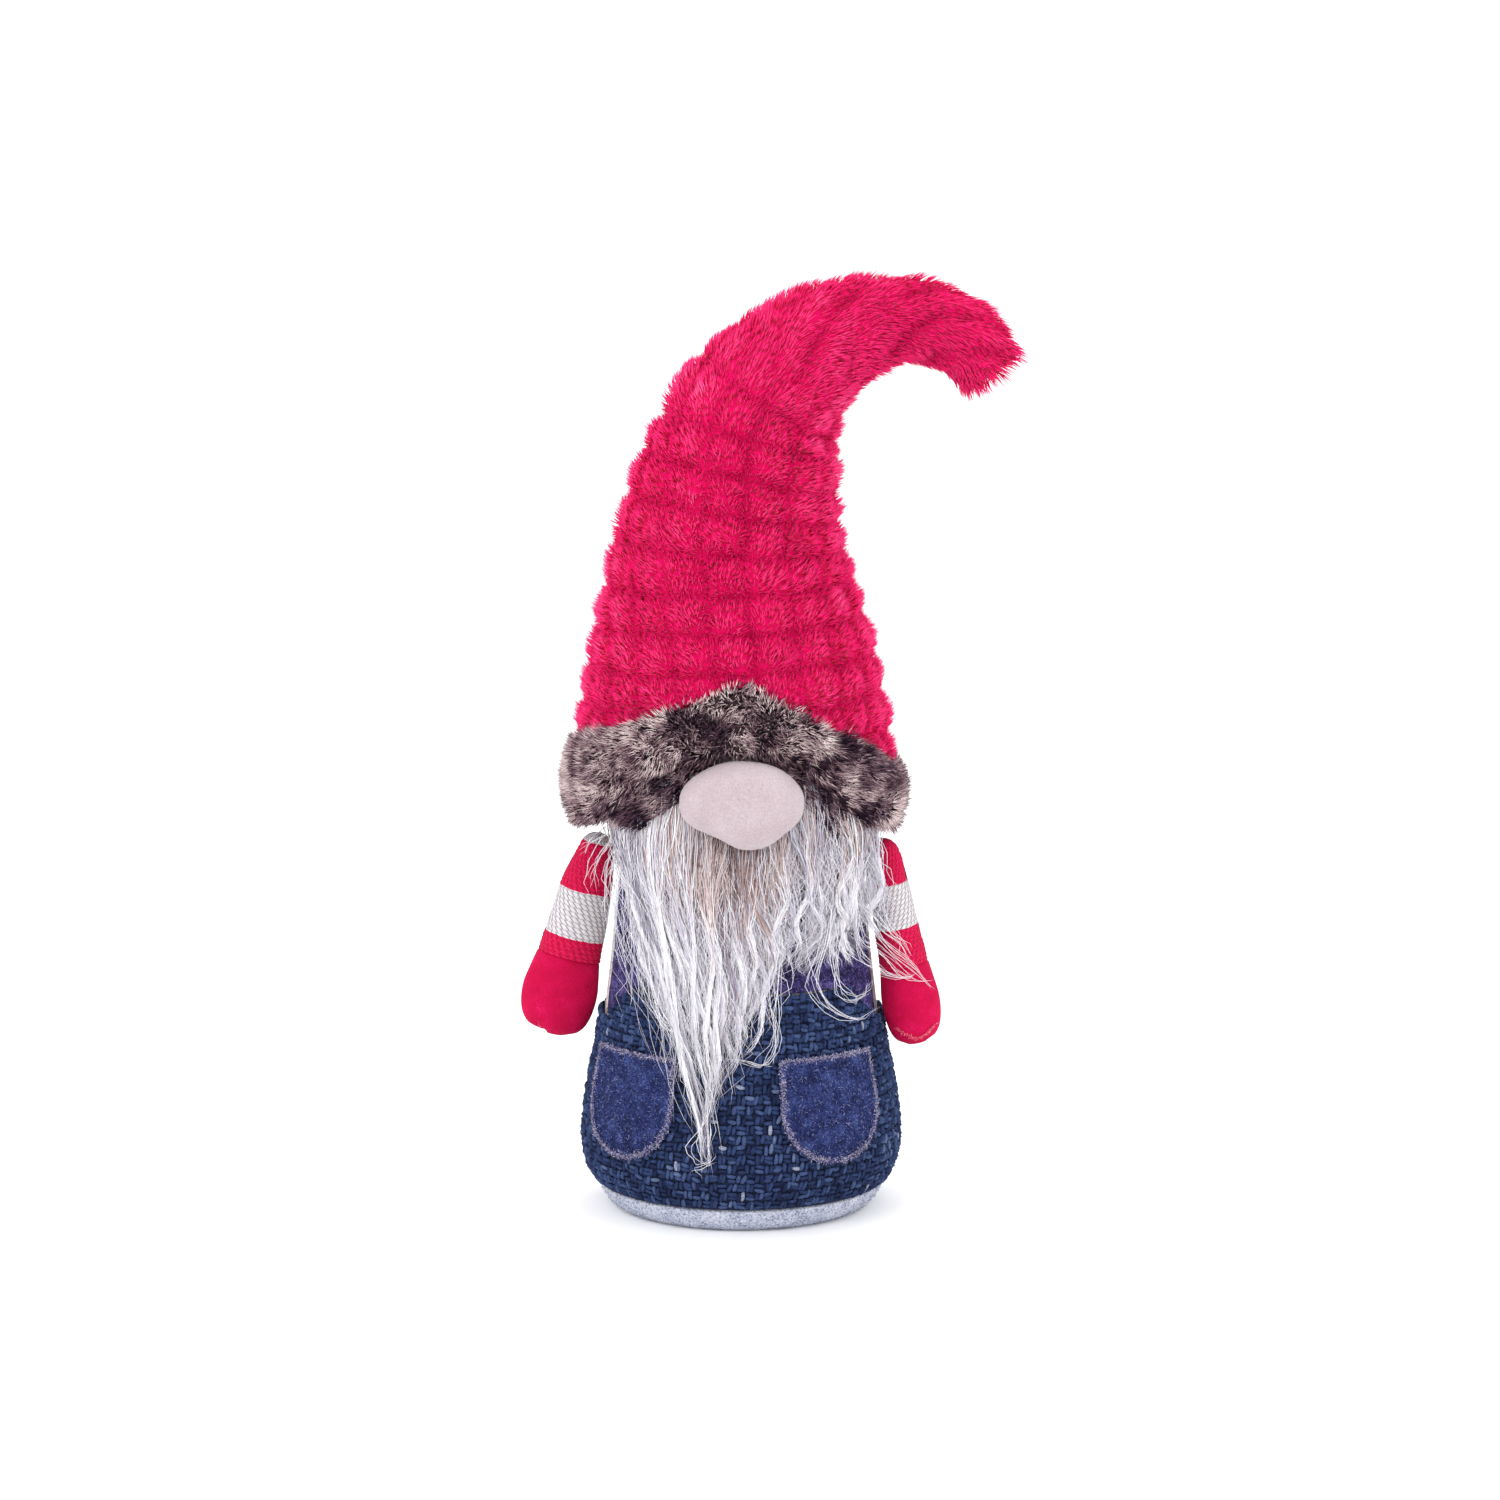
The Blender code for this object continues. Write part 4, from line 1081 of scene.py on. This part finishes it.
def makeBrim():
    makeBrimSkin()
    rng = np.random.default_rng(91)
    tones = shadeRow("brimFur", 9, (0, 32, 18, 34), (0.25, 70, 46, 62), (0.5, 128, 100, 110),
                     (0.75, 190, 164, 168), (1, 245, 228, 226))
    makeBrimFur(rng, tones)
    makeBrimFringe(rng, tones)


makeHatCloth()
makeHatPile()
makeBrim()
print("hat made")


# nose

nose = {
    "centre": (0.4, -61.5, 165.0), "half": (23.0, 14.0, 15.0), "squareness": 2.3,
    "bulge": 3.7, "bulgeX": 0.2, "bulgeWide": 0.46,
}


def makeNose():
    fleece = Finish("noseFleece", tone(238, 226, 226), Sheen_Weight=0.2)
    fibre = fleece.noise(0.7, detail=4.0)
    cloud = fleece.noise(9.0)
    fleece.feed("Base Color", fleece.ramp(cloud * 0.35 + fibre * 0.65, (0.34, tone(172, 154, 162)),
                                          (0.5, tone(184, 168, 174)), (0.68, tone(194, 184, 188))))
    fleece.bump(fleece.noise(0.45, detail=5.0), 0.55)
    deselect()
    bpy.ops.mesh.primitive_uv_sphere_add(segments=120, ring_count=80, radius=1.0)
    piece = named("noseFleece", [fleece])
    ball = readPlaces(piece) * mm
    power = nose["squareness"]
    size = sum(np.abs(ball[:, axis]) ** power for axis in (0, 2, 1)) ** (1 / power)
    ball = ball / size[:, None]
    x, z = ball[:, 0], ball[:, 2]
    places = ball * np.array(nose["half"])
    bulge = np.exp(-(np.abs(x - nose["bulgeX"]) / nose["bulgeWide"]) ** 3)
    places[:, 2] += smoothStep(-z, 0.0, 0.9) * (1.6 - nose["bulge"] * bulge) + 0.5
    places[:, 2] += np.clip(z, 0, 1) * (0.9 * np.exp(-((x + 0.1) / 0.5) ** 2) - 2.0 * x ** 2)
    places[:, 2] += 1.2 * (lumps(places, 14.0, 111) - 0.5)
    places[:, 1] = np.where(places[:, 1] > 0, places[:, 1] * 0.9, places[:, 1])
    writePlaces(piece, places + np.array(nose["centre"]))
    bpy.ops.object.shade_smooth()
    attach(piece, "root")
    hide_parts("nose_skin", "nose_filling")


makeNose()
print("nose made")


# beard

beard = {
    # guide locks from the figure's right to its left: points (x, z) from root to tip
    "guides": [
        [(-45, 163), (-45, 145), (-42, 128), (-37, 112), (-33, 95), (-30, 80), (-26, 66)],
        [(-40, 168), (-41, 145), (-38, 125), (-33, 105), (-29, 88), (-24, 70), (-19, 56)],
        [(-35, 172), (-37, 145), (-35, 122), (-31, 100), (-26, 82), (-19, 60), (-15.5, 36)],
        [(-29, 175), (-31, 140), (-29, 118), (-24, 95), (-19, 75), (-15.5, 48), (-14.2, 22)],
        [(-22, 175), (-24, 138), (-21, 115), (-18, 92), (-15, 70), (-13.5, 48), (-13.6, 25)],
        [(-14, 156), (-15, 132), (-13, 110), (-11.5, 90), (-11, 70), (-12.5, 50), (-14, 32)],
        [(-7, 148), (-8, 130), (-6, 108), (-6, 88), (-7.5, 72), (-9, 58), (-9.5, 47)],
        [(0, 147), (0, 130), (1, 112), (0, 96), (-1, 83), (-3, 71), (-5.5, 60)],
        [(8, 148), (8, 132), (9, 116), (8, 105), (6, 96), (4.5, 88), (3, 80)],
        [(15, 156), (16, 140), (17, 125), (16, 114), (14, 106), (12, 99), (10, 92)],
        [(23, 175), (25, 150), (26, 132), (25, 120), (23, 111), (20, 104), (17, 97)],
        [(31, 173), (34, 150), (35, 132), (33, 120), (31, 112), (29, 104), (27, 97)],
        [(39, 167), (43, 148), (43, 132), (41, 120), (40, 112), (39, 105), (42, 98)],
        [(45, 162), (49, 146), (49, 132), (47, 121), (46, 113), (48, 107), (53, 103)],
    ],
    # long loose locks that stand away from the rest
    "loose": [
        [(35, 130), (30, 108), (27, 96), (31, 87), (38, 81), (45, 79), (53, 82)],
        [(38, 128), (35, 106), (36, 94), (40, 88), (45, 87), (48, 90), (50, 94)],
        [(43, 130), (42, 112), (46, 102), (52, 96), (58, 93), (63, 93), (66, 96)],
        [(44, 136), (46, 120), (51, 109), (58, 102), (65, 96), (71, 90), (74, 86)],
        [(41, 134), (43, 118), (48, 107), (54, 101), (60, 95), (67, 91), (73, 92)],
        [(40, 138), (44, 126), (49, 117), (55, 110), (60, 106), (64, 100), (70, 97)],
        [(46, 152), (49, 140), (52, 130), (53, 121), (55, 113), (59, 107), (61, 100)],
        [(-38, 128), (-35, 108), (-30, 92), (-27, 82), (-23, 78), (-19, 80), (-18, 86)],
        [(-34, 120), (-33, 100), (-31, 84), (-26, 78), (-20, 80), (-17, 88), (-19, 96)],
        [(12, 110), (12, 92), (13, 80), (12, 70), (8, 66), (0, 68), (-8, 69)],
        [(-38, 160), (-43, 157), (-48, 153), (-52, 149), (-56, 146), (-59, 143), (-61, 139)],
        [(-39, 157), (-44, 152), (-49, 146), (-53, 140), (-55, 134), (-56, 128), (-55, 122)],
        [(-38, 152), (-44, 145), (-48, 137), (-50, 128), (-50, 119), (-48, 110), (-47, 102)],
        [(-40, 150), (-45, 140), (-47, 128), (-48, 116), (-46, 104), (-42, 92), (-40, 82)],
        [(-14, 44), (-14, 38), (-12, 33), (-14, 29), (-17, 27), (-15, 24), (-11, 25)],
        [(-13, 50), (-15, 42), (-18, 36), (-16, 31), (-12, 29), (-10, 32), (-13, 35)],
    ],
    "locks": 96, "perLock": 30, "underLocks": 40, "perUnderLock": 27, "flyaways": 760,
    "points": 13, "width": 0.16, "longTip": 3.2,
    "backingHalf": 44.0, "backingLow": 129.5, "backingTall": 33.0,
}
lastGuide = len(beard["guides"]) - 1


def drape(x, z, lift):  # sits a front view place on the body, a little clear of it
    azimuth = np.degrees(np.arcsin(np.clip(x / 56.0, -0.97, 0.97)))
    radius = bodyRadius(azimuth, np.minimum(z, 162.0)) + lift
    near = [smoothStep(np.abs(azimuth - pocket[name]), 27, 22) for name in ("rightPocket", "leftPocket")]
    onPocket = smoothStep(z, 71, 66) * smoothStep(z, 24, 30) * np.maximum(*near)
    radius = radius + 1.8 * onPocket
    y = -radius * np.sqrt(np.clip(1 - (x / radius) ** 2, 0.0, 1))
    armFront = -25.0 - 2.0 * lift / 5.0
    return stack(x, np.where(np.abs(x) > 44, np.minimum(y, armFront), y), z)


def guideLine(guides, across, share):
    # the guides' place at a spot between guides and a share of the way down
    guides = np.array(guides, float)
    spots = np.clip(across, 0, len(guides) - 1.001)
    low = np.floor(spots).astype(int)
    blend = (spots - low)[:, None, None]
    rows = guides[low] * (1 - blend) + guides[low + 1] * blend
    stretches = guides.shape[1] - 1
    slopes = np.gradient(rows, axis=1)
    index = np.clip((share * stretches).astype(int), 0, stretches - 1)
    t = (share * stretches - index)[..., None]
    pick = np.arange(len(rows))[:, None]
    return (rows[pick, index] * (2 * t**3 - 3 * t**2 + 1) + rows[pick, index + 1] * (3 * t**2 - 2 * t**3)
            + slopes[pick, index] * (t**3 - 2 * t**2 + t) + slopes[pick, index + 1] * (t**3 - t**2))


def beardHairs(rng, lockAcross, perLock, reach, spread, lift, guides, wave):
    # locks of hair that follow the guides, each gathered below its roots and waved as one
    locks = len(lockAcross)
    count = locks * perLock
    lock = np.repeat(np.arange(locks), perLock)
    share = np.linspace(0, 1, beard["points"])[None]
    own = rng.uniform(0.72, 1.0, count) * np.repeat(reach, perLock)
    down = share * own[:, None]
    place = guideLine(guides, np.repeat(lockAcross, perLock), down)
    offset = rng.normal(size=(count, 1)) * np.repeat(spread, perLock)[:, None]
    gather = 1.0 - 0.9 * smoothStep(down, 0.03, 0.42)
    splay = rng.normal(size=(count, 1)) * 0.9 * smoothStep(share, 0.8, 1.0)
    phase, pace = rng.uniform(0, 2 * pi, locks), rng.uniform(1.2, 3.2, locks)
    swell = rng.uniform(0.4, 1.0, locks) * wave
    turns = phase[lock, None] + pace[lock, None] * 2 * pi * down
    sway = swell[lock, None] * np.sin(turns) * smoothStep(down, 0.03, 0.4)
    wander = (rng.normal(0, 1.1, locks) * wave)[lock, None]
    wander = wander * smoothStep(down, 0.0, 0.5) * smoothStep(down, 1.15, 0.6)
    ripple = rng.uniform(0, 2 * pi, (count, 1)) + rng.uniform(1.5, 5, (count, 1)) * 2 * pi * share
    curl = rng.uniform(0.1, 0.42, (count, 1)) * wave * np.sin(ripple)
    loosen = rng.normal(size=(count, 1)) * 2.2 * smoothStep(down, 0.35, 0.0)
    x = place[..., 0] + offset * gather + splay + sway + wander + curl + loosen
    z = place[..., 1] + rng.normal(size=(count, 1)) * 2.2 * (1 - share) + 0.6 * curl * np.cos(ripple)
    depth = np.repeat(lift, perLock)[:, None] + rng.uniform(-1.2, 1.6, (count, 1)) * gather
    depth = depth * (0.5 + 0.5 * np.sin(np.clip(down * 1.25 + 0.22, 0, 1) * pi)) + 0.9
    depth = depth + 0.6 * np.cos(turns) + 0.6 * curl
    return drape(x, z, np.maximum(depth, 0.7)), lock, down


def makeBeardLayer(rng, layer, tones, warm, seed):
    across, lift = layer["across"], layer["lift"]
    paths, lock, down = beardHairs(rng, across, layer["perLock"], layer["reach"], layer["spread"], lift,
                                   beard["guides"], layer["wave"])
    offCentre = np.abs(across[lock] - 6.8) / 6.8
    patch = lumps(stack(across[lock] * 7.0, 0.0, 0.0), 6.0, 122)[:, None]
    high = smoothStep(down[:, :-1], 0.5, 0.05)
    heat = (layer["warmth"] * (0.55 + 0.9 * (patch - 0.3)) + 0.5 * high * (1 - 0.5 * offCentre[:, None])
            - 0.35 * smoothStep(offCentre, 0.75, 1.0)[:, None])
    isWarm = heat + rng.normal(0, 0.16, (len(lock), 1)) > 0.55
    # painted shade: locks that lie deeper, nearer the body, are darker; the hairs are also darker near their
    # roots
    bright = 0.5 + 0.3 * (lift[lock, None] - 5) / 4 + rng.normal(0, 0.18, (len(lock), 1)) + 0.2 * (1 - high)
    bright = bright + rng.normal(0, 0.2, len(across))[lock, None]
    shades = np.where(isWarm, len(tones) + pickShades(bright, warm), pickShades(bright, tones))
    taper = np.linspace(1.15, 0.55, beard["points"] - 1)[None]
    width = beard["width"] * taper * rng.uniform(0.75, 1.2, (len(lock), 1))
    halves = [("", slice(None))]
    if layer["split"]:
        halves = [("Right", across[lock] < lastGuide / 2), ("Left", across[lock] >= lastGuide / 2)]
    finishes = tones + warm
    for half, chosen in halves:
        hair = growHair(layer["name"] + half, paths[chosen], width[chosen], shades[chosen], finishes, seed)
        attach(hair, "root")
        if not layer["split"]:
            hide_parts("beard_hair")


def makeBeardLocks(rng, tones):
    warm = shadeRow("beardRoot", 6, (0, 112, 84, 82), (0.35, 160, 130, 126), (0.7, 198, 174, 170),
                    (1, 222, 204, 202), Roughness=0.6)
    # short warm hairs close to the backing, then the locks, which reach lower at the figure's left
    count = beard["underLocks"]
    under = {"name": "beardUnder", "split": False, "perLock": beard["perUnderLock"],
             "wave": 1.8, "warmth": 0.85,
             "across": rng.uniform(0, lastGuide, count), "reach": rng.uniform(0.4, 0.56, count),
             "spread": rng.uniform(2.2, 3.6, count), "lift": rng.uniform(1.8, 4.0, count)}
    count = beard["locks"]
    across = np.sort(rng.uniform(0, lastGuide, count))
    reach = np.where(rng.random(count) < 0.2, rng.uniform(0.8, 1.0, count), rng.uniform(0.42, 0.78, count))
    reach = np.where(across > 6.0, np.minimum(reach + 0.24, 1.0), reach)
    reach[np.argsort(np.abs(across - beard["longTip"]))[:4]] = 1.0
    locks = {"name": "beardLocks", "split": True, "perLock": beard["perLock"], "wave": 3.0, "warmth": 0.25,
             "across": across, "reach": reach, "spread": rng.uniform(0.9, 2.4, count),
             "lift": rng.uniform(3.4, 8.2, count)}
    makeBeardLayer(rng, under, tones, warm, 123)
    makeBeardLayer(rng, locks, tones, warm, 124)


def makeBeardStrays(rng, tones):  # long loose locks and single flyaway hairs
    places = []
    for guide in beard["loose"]:
        few = 3 if guide[0][1] < 60 else 7
        places.append(beardHairs(rng, np.zeros(few), 1, np.ones(few), np.full(few, 2.0), np.full(few, 5.0),
                                 [guide, guide], 1.3)[0])
    count = beard["flyaways"]
    spots = rng.uniform(0, lastGuide, count)
    reach, lift = rng.uniform(0.5, 1.02, count), rng.uniform(3, 7.5, count)
    places.append(beardHairs(rng, spots, 1, reach, np.full(count, 2.5), lift, beard["guides"], 5.5)[0])
    paths = np.concatenate(places)
    width = beard["width"] * 0.85 * np.linspace(1.0, 0.5, beard["points"] - 1)[None]
    shades = rng.integers(5, 8, (len(paths), 1))
    hair = growHair("beardStrays", paths, np.repeat(width, len(paths), 0), shades, tones, 131)
    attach(hair, "root")


def makeBeardBacking():
    backing = feltFinish("beardBacking", (120, 94, 84), (168, 140, 126), (205, 182, 168))

    def place(u, v):
        height = beard["backingLow"] + v * beard["backingTall"]
        return roundPlace((u * 2 - 1) * beard["backingHalf"], height, sweaterRadius(height) + 3.2)

    piece = addCloth("beardBacking", 60, 30, place, [backing], thickness=1.4)
    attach(piece, "root")
    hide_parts("beard_backing")


def makeBeard():
    rng = np.random.default_rng(121)
    tones = shadeRow("beardHair", 8, (0, 140, 132, 152), (0.4, 186, 180, 196), (0.7, 222, 218, 230),
                     (1, 250, 249, 253), Specular_IOR_Level=0.3, Roughness=0.55)
    makeBeardLocks(rng, tones)
    makeBeardStrays(rng, tones)
    makeBeardBacking()


makeBeard()
print("beard made")


# the pieces inside, which keep their CAD shapes

def makeInside():
    fill = Finish("fibreFill", tone(236, 234, 228))
    tangle = fill.noise(1.5, detail=6.0)
    fill.feed("Base Color", fill.ramp(tangle, (0.3, tone(215, 212, 205)), (0.7, tone(245, 243, 238))))
    fill.bump(tangle, 1.0)
    board = Finish("greyBoard", tone(172, 150, 120))
    grain = board.noise(3.0, board.stretched(board.place(), (1.0, 6.0, 1.0)))
    board.feed("Base Color", board.ramp(grain, (0.35, tone(150, 128, 98)), (0.65, tone(190, 170, 140))))
    bag = Finish("pelletBag", tone(214, 208, 190))
    threads = bag.node("ShaderNodeTexBrick", {}, {
        "Vector": bag.place(), "Scale": 900.0, "Color1": tone(216, 210, 192), "Color2": tone(200, 194, 176),
        "Mortar": tone(160, 152, 134)})
    bag.feed("Base Color", threads)
    wire = Finish("bendWire", tone(150, 152, 156), Roughness=0.35, Metallic=1.0, Specular_IOR_Level=0.5)
    shine = wire.ramp(wire.noise(2.0), (0.4, tone(128, 130, 134)), (0.6, tone(166, 168, 172)))
    wire.feed("Base Color", shine)
    thread = Finish("redThread", tone(170, 20, 50))
    twist = thread.node("ShaderNodeTexWave", {"bands_direction": "DIAGONAL"}, {
        "Vector": thread.place(), "Scale": 700.0})
    thread.feed("Base Color", thread.ramp(twist, (0.2, tone(120, 8, 30)), (0.8, tone(190, 30, 62))))
    worn = {"body_filling": fill, "right_arm_filling": fill, "left_arm_filling": fill,
            "base_board": board, "pellet_bag": bag, "hat_wire": wire, "hat_tip_wire": wire,
            "right_shoulder_stitches": thread, "left_shoulder_stitches": thread}
    for node, finish in worn.items():
        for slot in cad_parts[node].material_slots:
            slot.material = finish.material


makeInside()
print("inside finished")

bpy.context.view_layer.update()
